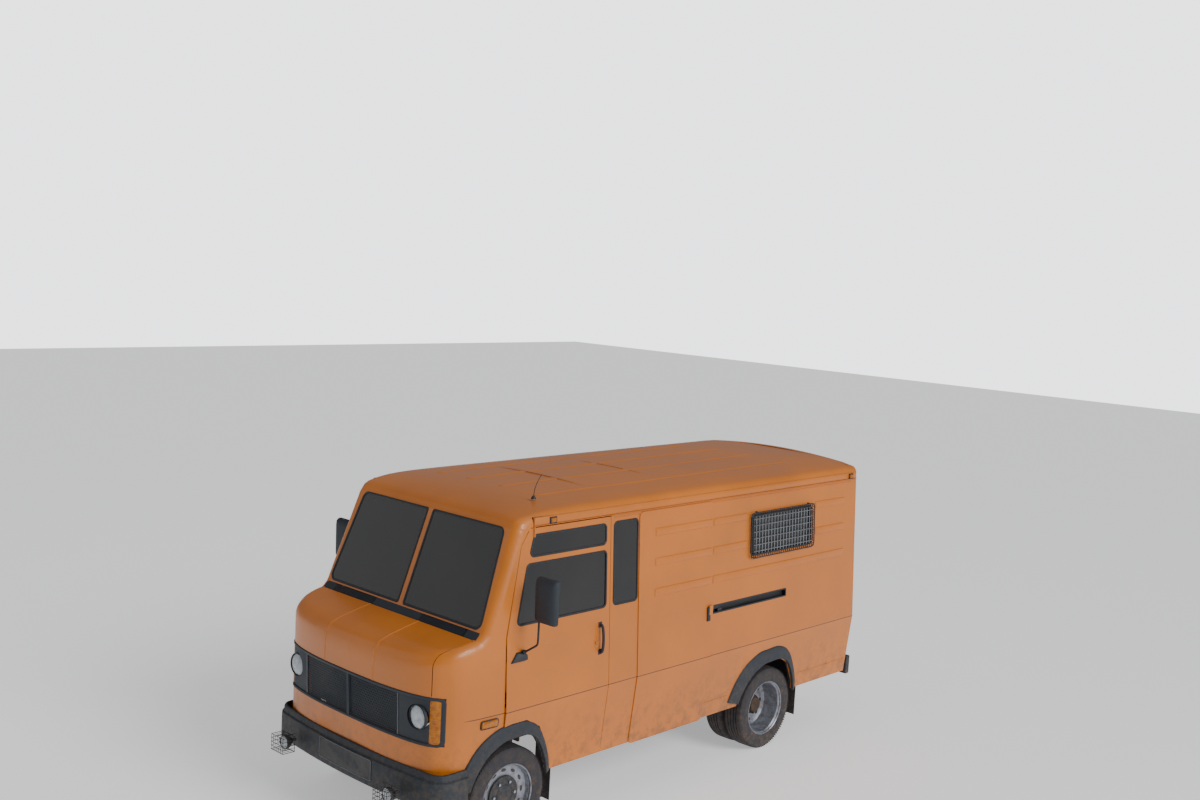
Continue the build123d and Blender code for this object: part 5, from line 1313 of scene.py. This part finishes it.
class TRUCK_OT_grille(bpy.types.Operator):
    """Grille, headlamps, indicators and side repeaters"""
    bl_idname = "mail_truck.grille"
    bl_label = "Grille and lamps"

    def execute(self, context):
        plastic, body = moulded_plastic(), "body_and_chassis"

        def lamp_gap(p):
            return 0.094 - np.hypot(np.abs(p[:, 0]) - 0.749, p[:, 2] - 1.066)

        def indicator_gap(p):
            return -np.maximum(np.abs(np.abs(p[:, 0]) - 0.881) - 0.040, np.abs(p[:, 2] - 1.044) - 0.163)

        def mesh_gap(p):
            return -np.maximum(np.abs(np.abs(p[:, 0]) - 0.292) - 0.268, np.abs(p[:, 2] - 1.048) - 0.150)
        net = cut_all(front_net(), grille_gap, lamp_gap, indicator_gap, mesh_gap)
        points, faces = thicken(*net, 0.008, -0.003)
        add_piece("grille_surround", (points, faces), plastic, body, ("grille_panel",), outward=False)
        pitch = context.scene.mail_truck.mesh_pitch
        columns, rows = int(0.540 / pitch), int(0.304 / (pitch * 1.0)) + 1
        tile = holed_tile(pitch, pitch, 0.66, 0.002)
        sheet = repeat(lattice_tree(), tile, plastic, Columns=columns, Rows=rows, Column_pitch=pitch, Row_pitch=pitch,
                       Stagger=0.5)

        def lay(p):
            x = 0.024 + p[:, 0] + pitch / 2
            z = 0.896 + p[:, 2]
            return on_nose(x, z, -p[:, 1] - 0.009)
        half = moved(sheet, lay)
        add_piece("grille_mesh", together(half, mirrored(half)), plastic, body, (), outward=False,
                  angle=20)

        def nose_bar(x0, x1, z0, z1, low, high, steps=12):
            rings = []
            for x in np.linspace(x0, x1, steps):
                xs, zs = np.full(4, x), np.array([z0, z0, z1, z1])
                rings.append(on_nose(xs, zs, np.array([low, high, high, low])))
            return loft(rings)
        frame_bars = []
        outline = rounded([(-0.918, 0.880), (-0.918, 1.216), (0.918, 1.216), (0.918, 0.880)], 0.028, 6)
        dense = []
        for a, b in zip(outline, np.roll(outline, -1, axis=0)):
            pieces = max(1, int(np.linalg.norm(b - a) / 0.05))
            dense += [a + (b - a) * k / pieces for k in range(pieces)]
        dense = np.array(dense)
        rings = []
        for across, height in ((-0.5, -0.006), (-0.5, 0.004), (-0.2, 0.008), (0.3, 0.008), (0.5, 0.002), (0.5, -0.006)):
            edge = grown(dense, across * 0.022)
            rings.append(on_nose(edge[:, 0], edge[:, 1], np.full(len(edge), height)))
        frame_bars.append(loft(rings, closed=True))
        frame_bars.append(nose_bar(-0.016, 0.016, 0.890, 1.206, -0.006, 0.003, 5))
        add_piece("grille_frame", together(*frame_bars), plastic, body, ())
        lips = [nose_bar(s * 0.566 - 0.003, s * 0.566 + 0.003, 0.896, 1.200, -0.004, 0.0015, 3) for s in (-1, 1)]
        add_piece("grille_lips", together(*lips), line_paint(), body, ())
        backing = brick(-0.56, 0.56, at(-0.690), at(-0.684), 0.880, 1.200)
        add_piece("radiator_shroud", backing, black_steel(), body, (), bevel=0.002)
        bowls, lenses, rims = [], [], []
        face = float(on_nose(np.array([0.749]), np.array([1.066]), np.array([0.0]))[0, 1])
        for s in (1, -1):
            bowls.append(turned_forward([(face + 0.012, 0.089), (face + 0.050, 0.075), (face + 0.075, 0.030),
                                         (face + 0.080, 0.0001), (face + 0.086, 0.0001), (face + 0.080, 0.034),
                                         (face + 0.055, 0.080), (face + 0.012, 0.092)], s * 0.749, 1.066))
            bowls.append(turned_forward([(face + 0.030, 0.0001), (face + 0.034, 0.012), (face + 0.070, 0.014),
                                         (face + 0.074, 0.0001)], s * 0.749, 1.066, 20))
            lenses.append(turned_forward([(face - 0.016, 0.0001), (face - 0.013, 0.040), (face - 0.004, 0.070),
                                          (face + 0.008, 0.086), (face + 0.012, 0.086), (face - 0.000, 0.068),
                                          (face - 0.008, 0.040), (face - 0.011, 0.0001)], s * 0.749, 1.066))
            rims.append(turned_forward([(face - 0.002, 0.084), (face - 0.006, 0.088), (face - 0.002, 0.0925),
                                        (face + 0.016, 0.0925), (face + 0.016, 0.084)], s * 0.749, 1.066))
        add_piece("headlamp_bowls", together(*bowls), reflector(), body, ())
        add_piece("headlamp_lenses", together(*lenses), clear_lens(), body, ())
        add_piece("headlamp_rims", together(*rims), plastic, body, ())
        rows_z = np.linspace(0.884, 1.204, 97)
        rings = []
        for k, z in enumerate(rows_z):
            swell = 0.0022 * abs(math.sin(k * math.pi / 6)) + 0.001
            xs = np.array([0.8425, 0.8425, 0.860, 0.881, 0.902, 0.9195, 0.9195])
            rings.append(on_nose(xs, np.full(7, z), np.array([-0.022, -0.002, swell, swell + 0.001, swell, -0.002, -0.022])))
        one = loft(rings)
        rep_y = np.array([(-0.322, 0.966), (-0.322, 1.018), (-0.178, 1.018), (-0.178, 0.966)])
        lens_ring = rounded(rep_y, 0.008, 4)
        repeater = loft([on_flank(lens_ring[:, 0], lens_ring[:, 1], np.full(len(lens_ring), 0.001)),
                         on_flank(lens_ring[:, 0], lens_ring[:, 1], np.full(len(lens_ring), 0.010)),
                         on_flank(*grown(lens_ring, -0.005).T, np.full(len(lens_ring), 0.015))])
        add_piece("amber_indicators", together(one, mirrored(one), repeater, mirrored(repeater)), amber_lens(), body,
                  ("indicator_lamps",), angle=50)
        housing = grown(lens_ring, 0.007)
        rings = [on_flank(*grown(housing, d).T, np.full(len(housing), h))
                 for d, h in ((0.0, 0.0005), (0.0, 0.009), (-0.005, 0.012), (-0.007, 0.009), (-0.007, 0.0005))]
        one = loft(rings, closed=True)
        add_piece("repeater_frames", together(one, mirrored(one)), plastic, body, ())
        return {"FINISHED"}


class TRUCK_OT_bumper(bpy.types.Operator):
    """Front bumper, blank number plate and auxiliary lamps with wire guards"""
    bl_idname = "mail_truck.bumper"
    bl_label = "Front bumper"

    def execute(self, context):
        plastic, steel, body = moulded_plastic(), black_steel(), "body_and_chassis"
        path = []
        for x in np.linspace(0, 0.880, 14):
            path.append((x, -0.770 + 0.054 * (x / 0.880) ** 2))
        corner = [(0.938, -0.701), (0.984, -0.668), (1.010, -0.628), (1.018, -0.590)]
        path += smooth_run([path[-1]] + corner, 3)[1:] + [(1.018, y) for y in (-0.54, -0.48, -0.427)]
        path = np.array(path)
        path = np.concatenate([path[::-1] * (-1, 1), path[1:]])
        run = np.gradient(path, axis=0)
        run /= np.linalg.norm(run, axis=1)[:, None]
        out = np.stack([run[:, 1], -run[:, 0]], 1)
        shape = [(-0.038, 0.432), (-0.008, 0.430), (-0.001, 0.437), (0.000, 0.470), (0.000, 0.600), (-0.002, 0.634),
                 (-0.008, 0.640), (-0.015, 0.643), (-0.017, 0.650), (-0.018, 0.676), (-0.024, 0.687), (-0.038, 0.690)]
        rings = [[(p[0] + o[0] * d, at(p[1]) + o[1] * d, z) for d, z in shape] for p, o in zip(path, out)]
        add_piece("bumper_shell", loft(rings), plastic, body, ("front_bumper",), angle=30)
        brackets = []
        for side in (-1, 1):
            brackets.append(brick(side * 0.415 - 0.03, side * 0.415 + 0.03, at(-0.742), at(-0.66), 0.535, 0.635))
        add_piece("bumper_brackets", together(*brackets), steel, body, (), bevel=0.003)
        outline = rounded([(-0.325, 0.476), (-0.325, 0.634), (0.325, 0.634), (0.325, 0.476)], 0.012)

        def on_bumper(u, v, h):
            return u, at(-0.770 + 0.054 * (u / 0.880) ** 2) - h, v
        dense = []
        for a, b in zip(outline, np.roll(outline, -1, axis=0)):
            pieces = max(1, int(np.linalg.norm(b - a) / 0.06))
            dense += [a + (b - a) * k / pieces for k in range(pieces)]
        dense = np.array(dense)
        rings = [[on_bumper(u, v, 0.0005) for u, v in dense], [on_bumper(u, v, 0.0035) for u, v in dense]]
        add_piece("number_plate_blank", loft(rings), plain_finish("pressed_plate_enamel", "#0D0D0E", "#151416", 0.4,
                  scale=90.0, bump=0.05, ior=1.5, road_dirt=0.2), body, ())
        add_piece("number_plate_edging", plate(dense, on_bumper, 0.0030, 0.0046, grown(dense, -0.003)), line_paint(), body,
                  ())
        lamps, glasses, guards = [], [], []
        for side in (-1, 1):
            cx, cz = side * 0.650, 0.505
            lamps.append(turned_forward([(at(-0.866), 0.049), (at(-0.870), 0.052), (at(-0.862), 0.054), (at(-0.830), 0.050),
                                         (at(-0.806), 0.030), (at(-0.800), 0.0001), (at(-0.806), 0.0001),
                                         (at(-0.812), 0.024), (at(-0.836), 0.044)], cx, cz, 40))
            lamps.append(tube([(cx, at(-0.806), cz), (cx, at(-0.760), cz)], 0.013, 16))
            glasses.append(turned_forward([(at(-0.871), 0.0001), (at(-0.869), 0.030), (at(-0.865), 0.049),
                                           (at(-0.860), 0.049), (at(-0.864), 0.028), (at(-0.866), 0.0001)], cx, cz, 40))
            front, back = at(-0.927), at(-0.822)
            for k in range(7):
                x = cx - 0.078 + k * 0.156 / 6
                guards.append(tube([(x, back, cz - 0.060), (x, front, cz - 0.060), (x, front, cz + 0.060),
                                    (x, back, cz + 0.060)], 0.0022, 6))
            for k in range(5):
                z = cz - 0.060 + k * 0.030
                guards.append(tube([(cx - 0.081, back, z), (cx - 0.081, front - 0.0, z), (cx + 0.081, front, z),
                                    (cx + 0.081, back, z)], 0.0022, 6))
            frame_ring = [(cx - 0.080, back, cz - 0.060), (cx + 0.080, back, cz - 0.060), (cx + 0.080, back, cz + 0.060),
                          (cx - 0.080, back, cz + 0.060)]
            guards.append(tube(frame_ring, 0.003, 6, closed=True))
            for dz in (-0.045, 0.045):
                guards.append(tube([(cx, back, cz + dz), (cx, at(-0.765), cz + dz)], 0.003, 6))
            guards.append(tube([(cx, back, cz - 0.06), (cx, back, cz + 0.06)], 0.003, 6))
        add_piece("auxiliary_lamp_bodies", together(*lamps), steel, body, ("front_lamps",))
        add_piece("auxiliary_lamp_lenses", together(*glasses), clear_lens(), body, ())
        add_piece("auxiliary_lamp_guards", together(*guards), black_steel(), body, ())
        return {"FINISHED"}


class TRUCK_OT_flares(bpy.types.Operator):
    """Wheel-arch flares"""
    bl_idname = "mail_truck.flares"
    bl_label = "Flares and flaps"

    def execute(self, context):
        plastic, body = moulded_plastic(), "body_and_chassis"
        solids = []
        for outer, inner in ((front_arch, front_gap), (rear_arch, rear_gap)):
            far = arch_line(outer, 0.36)
            close = arch_line(inner, 0.36)
            rings = []
            for a, b in zip(close, far):
                if min(a[1], b[1]) < 0.462:
                    continue
                steps = [(0.0, -0.030), (0.0, 0.022), (0.05, 0.0265), (0.16, 0.0265), (0.22, 0.0235), (0.55, 0.0215),
                         (0.80, 0.019), (0.94, 0.012), (1.0, 0.001), (0.9, -0.004), (0.3, -0.004), (0.06, -0.030)]
                spots = np.array([a + (b - a) * t for t, _ in steps])
                rings.append(on_flank(spots[:, 0], spots[:, 1], np.array([h for _, h in steps])))
            solids.append(loft(rings))
        one = together(*solids)
        add_piece("arch_flare_shells", together(one, mirrored(one)), plastic, body, ("arch_flares",),
                  bevel=0.0, angle=30)
        return {"FINISHED"}


class TRUCK_OT_wheels(bpy.types.Operator):
    """Tyres with grooves, wheel discs, hub caps, nuts, and dark ovals of painted shade for the disc slots and holes"""
    bl_idname = "mail_truck.wheels"
    bl_label = "Wheels and tyres"

    def execute(self, context):
        rubber, silver, steel = tyre_rubber(), rim_paint(), black_steel()
        radius = 0.372

        def tyre(centre_x, y):
            half = 0.0975
            side_wall = [(-0.086, 0.243), (-0.092, 0.262), (-0.0972, 0.300), (-0.0955, 0.330), (-0.089, 0.350),
                         (-0.080, 0.3635), (-0.074, 0.367)]
            tread = []
            for groove in (-0.046, -0.016, 0.016, 0.046):
                tread += [(groove - 0.0050, 0.3712), (groove - 0.0040, 0.3630), (groove + 0.0040, 0.3630),
                          (groove + 0.0050, 0.3712)]
            tread = [(-0.070, 0.3690), (-0.060, 0.3705)] + tread + [(0.060, 0.3705), (0.070, 0.3690)]
            shape = side_wall + tread + [(-u, r) for u, r in side_wall[::-1]] + [(0.080, 0.236), (-0.080, 0.236)]
            return lathe(shape, (centre_x, y, axle_height), 96)

        def blocks(centre_x, y, finish):
            tile = brick(-0.004, 0.0015, -0.0045, 0.0045, -0.0085, 0.0085)
            out = []
            for shoulder in (-0.078, 0.078):
                ring = repeat(ring_tree(), tile, finish, Count=96, Radius=radius - 0.0055)
                out.append(moved(ring, lambda p, s=shoulder: np.stack([p[:, 2] + centre_x + s, p[:, 0] + y,
                                                                        p[:, 1] + axle_height], 1)))
            return out

        def around(tile, count, reach, centre_x, y, finish):
            ring = repeat(ring_tree(), tile, finish, Count=count, Radius=reach)
            return moved(ring, lambda p: np.stack([p[:, 2] + centre_x, p[:, 0] + y, p[:, 1] + axle_height], 1))

        def stud(size, height):
            ring = [(size * math.cos(a), size * math.sin(a)) for a in np.linspace(0, 2 * math.pi, 6, endpoint=False)]
            top = [(x * 0.8, y * 0.8) for x, y in ring]
            return loft([[(x, y, 0.0) for x, y in ring], [(x, y, height * 0.8) for x, y in ring],
                         [(x, y, height) for x, y in top]])
        count = context.scene.mail_truck.nut_count
        wheel_x = 0.8825
        for side, sign in (("left", 1), ("right", -1)):
            turn = mirrored if sign < 0 else (lambda solid: solid)
            body = "front_" + side + "_wheel"
            add_piece("front_" + side + "_tyre_rubber", turn(together(tyre(wheel_x, front_axle), *blocks(wheel_x, front_axle, rubber))),
                      rubber, body, ("front_" + side + "_tyre",), angle=30)
            rim = lathe([(0.086, 0.236), (0.092, 0.243), (0.088, 0.246), (0.080, 0.238), (0.060, 0.232), (0.040, 0.226),
                         (0.034, 0.205), (0.036, 0.165), (0.030, 0.140), (0.022, 0.140), (0.022, 0.100), (-0.060, 0.100),
                         (-0.060, 0.106), (0.014, 0.110), (0.024, 0.150), (0.028, 0.190), (0.024, 0.215), (-0.080, 0.228),
                         (-0.090, 0.240), (-0.094, 0.246), (-0.086, 0.236), (0.060, 0.236)],
                        (wheel_x, front_axle, axle_height), 96)
            add_piece("front_" + side + "_rim", turn(rim), silver, body, ("front_" + side + "_wheel",))
            # painted shade: the slots are dark ovals set on the disc, standing in for the shade seen through slot
            # openings
            slot_shade_tile = [(0.012 * math.cos(a), 0.024 * math.sin(a)) for a in np.linspace(0, 2 * math.pi, 14, endpoint=False)]
            slot_shade_tile = loft([[(x, y, -0.004) for x, y in slot_shade_tile], [(x, y, 0.0012) for x, y in slot_shade_tile]])
            slot_shades = around(slot_shade_tile, 12, 0.185, wheel_x + 0.0355, front_axle, steel)
            cap = lathe([(0.030, 0.142), (0.046, 0.140), (0.050, 0.128), (0.050, 0.075), (0.056, 0.070), (0.060, 0.060),
                         (0.061, 0.0001), (0.020, 0.0001), (0.022, 0.142)], (wheel_x, front_axle, axle_height), 72)
            add_piece("front_" + side + "_hub_cap", turn(together(cap, slot_shades)), moulded_plastic(), body, ())
            studs = around(stud(0.0125, 0.012), count, 0.102, wheel_x + 0.0495, front_axle, bright_wire())
            add_piece("front_" + side + "_studs", turn(studs), bright_wire(), body, ())
            body = "rear_" + side + "_wheels"
            inner_x = wheel_x - 0.225
            rubbers = together(tyre(wheel_x, rear_axle), tyre(inner_x, rear_axle), *blocks(wheel_x, rear_axle, rubber))
            add_piece("rear_" + side + "_tyre_rubbers", turn(rubbers), rubber, body, ("rear_" + side + "_tyres",),
                      angle=30)
            disc = (wheel_x + inner_x) / 2 - wheel_x
            outer = lathe([(0.086, 0.236), (0.092, 0.243), (0.088, 0.246), (0.080, 0.238), (0.066, 0.224), (0.010, 0.216),
                           (-0.050, 0.208), (-0.070, 0.199), (-0.080, 0.182), (-0.086, 0.150), (-0.092, 0.120),
                           (disc + 0.012, 0.080), (disc + 0.002, 0.080), (disc + 0.008, 0.130), (-0.096, 0.190),
                           (-0.080, 0.216), (-0.090, 0.240), (-0.094, 0.246), (-0.086, 0.236), (0.060, 0.236)],
                          (wheel_x, rear_axle, axle_height), 96)
            inner = lathe([(0.094, 0.246), (0.098, 0.170), (0.110, 0.140), (0.110, 0.080), (0.102, 0.080),
                           (0.090, 0.165), (0.082, 0.228), (-0.080, 0.232), (-0.094, 0.246), (-0.086, 0.236),
                           (0.070, 0.236)], (inner_x, rear_axle, axle_height), 72)
            add_piece("rear_" + side + "_rims", turn(together(outer, inner)), silver, body, ("rear_" + side + "_wheels",))
            # painted shade: the holes are dark ovals set on the disc, standing in for the shade seen through them
            hole = [(0.014 * math.cos(a), 0.019 * math.sin(a)) for a in np.linspace(0, 2 * math.pi, 16, endpoint=False)]
            hole = loft([[(x, y, -0.004) for x, y in hole], [(x, y, 0.005) for x, y in hole]])
            hole_shades = around(hole, 8, 0.155, wheel_x - 0.087, rear_axle, steel)
            add_piece("rear_" + side + "_wheel_holes", turn(hole_shades), steel, body, ())
            hub = lathe([(disc + 0.010, 0.098), (disc + 0.060, 0.085), (disc + 0.095, 0.066), (disc + 0.100, 0.050),
                         (disc + 0.100, 0.0001), (disc + 0.005, 0.0001), (disc + 0.005, 0.098)],
                        (wheel_x, rear_axle, axle_height), 48)
            nuts = around(stud(0.016, 0.030), count, 0.1135, wheel_x + disc + 0.011, rear_axle, cast_iron())
            add_piece("rear_" + side + "_hub", turn(together(hub, nuts)), cast_iron(), body, ())
        return {"FINISHED"}


class TRUCK_OT_underbody(bpy.types.Operator):
    """Finishes of the chassis, axles, springs, engine, exhaust, tank, floor and glass that stay as the CAD made them"""
    bl_idname = "mail_truck.underbody"
    bl_label = "Chassis and glass"

    def execute(self, context):
        finishes = {
            "axles": cast_iron, "chassis_frame": chassis_steel, "leaf_springs": spring_steel, "exhaust": cast_iron,
            "engine_and_gearbox": cast_iron, "fuel_tank": chassis_steel, "left_knuckle": cast_iron,
            "right_knuckle": cast_iron, "mud_flaps": tyre_rubber, "body_floor": floor_mat, "gear_lever": cab_plastic,
            "seat_frames": black_steel, "side_windows": tinted_glass, "windscreen_panes": tinted_glass,
            "left_top_light": tinted_glass, "right_top_light": tinted_glass, "left_drop_glass": tinted_glass,
            "right_drop_glass": tinted_glass, "left_door_button": body_enamel, "right_door_button": body_enamel,
            "sliding_door_rail": black_steel, "sliding_door_arm": black_steel, "sliding_door_carriage": black_steel,
            "steering_wheel": cab_plastic, "dashboard": cab_plastic,
        }
        for node, finish in finishes.items():
            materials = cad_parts[node].data.materials
            materials.clear()
            materials.append(finish())
        return {"FINISHED"}


class TRUCK_OT_cab_trim(bpy.types.Operator):
    """Dashboard with rounded edges and the steering wheel's rim, spokes and boss"""
    bl_idname = "mail_truck.cab_trim"
    bl_label = "Cab trim"

    def execute(self, context):
        trim = cab_plastic()
        soften("dashboard", trim, "body_and_chassis", 0.012, segments=3)
        centre = np.array([0.430, at(0.300), 1.385])
        lean = np.array([0.0, 0.62, 0.78])
        lean /= np.linalg.norm(lean)
        across = np.array([1.0, 0.0, 0.0])
        up = np.cross(lean, across)
        rim = [centre + 0.214 * (math.cos(a) * across + math.sin(a) * up)
               for a in np.linspace(0, 2 * math.pi, 72, endpoint=False)]
        solids = [tube(rim, 0.0145, 12, closed=True)]
        for a in (math.pi / 2 + math.pi, math.pi / 6, math.pi * 5 / 6):
            way = math.cos(a) * across + math.sin(a) * up
            solids.append(tube([centre + way * 0.03 - lean * 0.020, centre + way * 0.12 - lean * 0.012, centre + way * 0.212],
                               [0.016, 0.012, 0.010], 10))
        solids.append(tube([centre - lean * 0.050, centre - lean * 0.012, centre + lean * 0.004], [0.030, 0.048, 0.040], 28))
        add_piece("steering_wheel_rim", together(*solids), trim, "steering_wheel", ("steering_wheel",))
        return {"FINISHED"}


def cushion(name, low, high, round_off):
    """A padded form between two corners, swelled by a short cloth simulation."""
    work = bmesh.new()
    bmesh.ops.create_cube(work, size=1.0)
    low, high = np.array(low), np.array(high)
    inset = 0.014
    for v in work.verts:
        v.co = Vector([(low[k] + high[k]) / 2 + v.co[k] * (high[k] - low[k] - 2 * inset) for k in range(3)])
    bmesh.ops.bevel(work, geom=list(work.edges), offset=round_off, segments=4, affect="EDGES", profile=0.6)
    mesh = bpy.data.meshes.new(name)
    work.to_mesh(mesh)
    work.free()
    pad = bpy.data.objects.new(name, mesh)
    scene = bpy.context.scene
    scene.collection.objects.link(pad)
    remesh = pad.modifiers.new("Remesh", "REMESH")
    remesh.mode = "VOXEL"
    remesh.voxel_size = 0.014
    bake_modifiers(pad)
    start = np.array([v.co for v in pad.data.vertices])
    cloth = pad.modifiers.new("Cloth", "CLOTH")
    cloth.settings.use_pressure = True
    cloth.settings.uniform_pressure_force = 4.0
    cloth.settings.effector_weights.gravity = 0.0
    cloth.settings.quality = 4
    for step in range(1, 21):
        scene.frame_set(step)
    bake_modifiers(pad)
    scene.frame_set(1)
    end = np.array([v.co for v in pad.data.vertices])
    shift = end - start
    length = np.linalg.norm(shift, axis=1)
    shift *= np.minimum(1.0, 0.012 / np.maximum(length, 1e-9))[:, None]
    start = np.clip(start + shift, low + 0.002, high - 0.002)
    return pad, start


class TRUCK_OT_seats(bpy.types.Operator):
    """Seat cushions and backrests: padded forms with sewn channels in grained vinyl"""
    bl_idname = "mail_truck.seats"
    bl_label = "Seats"

    def execute(self, context):
        vinyl = seat_vinyl()
        seat_low, seat_high = 0.962, 1.080
        for k, side in enumerate((1, -1)):
            x = side * 0.430
            for kind, low, high in (("cushion", (x - 0.238, at(0.432), seat_low), (x + 0.238, at(0.898), seat_high)),
                                    ("back", (x - 0.228, at(0.782), seat_high + 0.002), (x + 0.228, at(0.898), 1.678))):
                name = ("left_" if side > 0 else "right_") + "seat_" + kind
                pad, points = cushion(name, low, high, 0.030)
                channel = np.abs(((points[:, 0] - x + 0.0475) % 0.095) - 0.0475)
                dip = 0.006 * np.exp(-(channel / 0.006) ** 2)
                face = 2 if kind == "cushion" else 1
                middle_of_face = (low[face] + high[face]) / 2
                front = (points[:, face] > middle_of_face) if face == 2 else (points[:, face] < middle_of_face)
                points[:, face] += np.where(front, -dip if face == 2 else dip, 0)
                pad.data.vertices.foreach_set("co", points.ravel())
                smooth = pad.modifiers.new("Subdivision", "SUBSURF")
                smooth.levels = smooth.render_levels = 1
                bake_modifiers(pad)
                pad.data.materials.clear()
                pad.data.materials.append(vinyl)
                pad.data.shade_smooth()
                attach(pad, "body_and_chassis")
                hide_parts("seat_pads")
        return {"FINISHED"}


class TRUCK_OT_stage(bpy.types.Operator):
    """Pale floor, soft studio light and the camera"""
    bl_idname = "mail_truck.stage"
    bl_label = "Stage"

    def execute(self, context):
        scene = context.scene
        mesh = bpy.data.meshes.new("studio_floor")
        size = 40.0
        mesh.from_pydata([(-size, -size, -0.001), (size, -size, -0.001), (size, size, -0.001), (-size, size, -0.001)], [],
                         [[0, 1, 2, 3]])
        floor = bpy.data.objects.new("studio_floor", mesh)
        scene.collection.objects.link(floor)
        material, tree, shader, where = start_material("painted_studio_floor")
        tree.links.new(shade(tree, grain(tree, where, 0.8), linear("#ECECEC"), linear("#F1F1F1")),
                       shader.inputs["Base Color"])
        shader.inputs["Emission Color"].default_value = linear("#F4F5F7")
        shader.inputs["Emission Strength"].default_value = 0.45
        shader.inputs["Roughness"].default_value = 0.85
        mesh.materials.append(material)
        world = bpy.data.worlds.new("studio_air")
        world.use_nodes = True
        air = world.node_tree
        seen = add_node(air, "ShaderNodeLightPath").outputs["Is Camera Ray"]
        level = add_node(air, "ShaderNodeMapRange", {"Value": seen, "To Min": 0.30, "To Max": 3.0}).outputs[0]
        backdrop = air.nodes["Background"]
        backdrop.inputs["Color"].default_value = linear("#F2F4F8")
        air.links.new(level, backdrop.inputs["Strength"])
        scene.world = world
        sun = bpy.data.objects.new("window_light", bpy.data.lights.new("window_light", "SUN"))
        sun.data.energy = 2.0
        sun.data.angle = math.radians(28)
        sun.rotation_euler = Vector((-1.0, -0.12, -0.60)).to_track_quat("-Z", "Y").to_euler()
        scene.collection.objects.link(sun)
        for name, place, aim, size, power in (("key_softbox", (10.0, 0.5, 4.0), (0, 0, 1.2), 5.0, 120.0),
                                               ("top_softbox", (1.5, 0.0, 8.5), (0, 0, 1.0), 6.0, 50.0),
                                               ("fill_softbox", (-5.0, -8.0, 4.5), (0, -1.0, 1.2), 6.0, 60.0)):
            light = bpy.data.lights.new(name, "AREA")
            light.size = size
            light.energy = power
            lamp = bpy.data.objects.new(name, light)
            lamp.location = place
            lamp.rotation_euler = (Vector(aim) - Vector(place)).to_track_quat("-Z", "Y").to_euler()
            scene.collection.objects.link(lamp)
        camera = bpy.data.objects.new("camera", bpy.data.cameras.new("camera"))
        yaw, pitch, roll = (math.radians(v) for v in (43.541, 6.128, 3.039))
        ahead = Vector((-math.sin(yaw) * math.cos(pitch), math.cos(yaw) * math.cos(pitch), -math.sin(pitch)))
        right = Vector((math.cos(yaw), math.sin(yaw), 0.0))
        up = right.cross(ahead)
        turned_right = right * math.cos(roll) + up * math.sin(roll)
        turned_up = up * math.cos(roll) - right * math.sin(roll)
        turn = Matrix((turned_right, turned_up, -ahead)).transposed().to_4x4()
        camera.matrix_world = Matrix.Translation((7.854, -8.287, 4.357)) @ turn
        camera.data.lens = 39.91
        camera.data.sensor_width = 36.0
        scene.collection.objects.link(camera)
        scene.camera = camera
        return {"FINISHED"}


class TRUCK_PT_panel(bpy.types.Panel):
    """The truck's pieces and settings in the 3D view's sidebar"""
    bl_idname = "TRUCK_PT_panel"
    bl_label = "Mail truck"
    bl_space_type = "VIEW_3D"
    bl_region_type = "UI"
    bl_category = "Mail truck"

    def draw(self, context):
        for name in MailTruckSettings.__annotations__:
            self.layout.prop(context.scene.mail_truck, name)
        for operator in operators:
            self.layout.operator(operator.bl_idname)


operators = (TRUCK_OT_stage, TRUCK_OT_underbody, TRUCK_OT_cab_front, TRUCK_OT_hood, TRUCK_OT_roof, TRUCK_OT_grille,
             TRUCK_OT_bumper, TRUCK_OT_sides, TRUCK_OT_cab_doors, TRUCK_OT_mirrors, TRUCK_OT_sliding_door,
             TRUCK_OT_rear, TRUCK_OT_flares, TRUCK_OT_wheels, TRUCK_OT_cab_trim, TRUCK_OT_seats)


def register():
    """Make the settings, operators and panel known."""
    for item in (MailTruckSettings, *operators, TRUCK_PT_panel):
        bpy.utils.register_class(item)
    bpy.types.Scene.mail_truck = PointerProperty(type=MailTruckSettings)


def unregister():
    """Take the settings, operators and panel away again."""
    del bpy.types.Scene.mail_truck
    for item in (TRUCK_PT_panel, *operators[::-1], MailTruckSettings):
        bpy.utils.unregister_class(item)


def main():
    """Build the whole truck."""
    register()
    for item in operators:
        group, name = item.bl_idname.split(".")
        getattr(getattr(bpy.ops, group), name)()


if __name__ == "__main__":
    main()
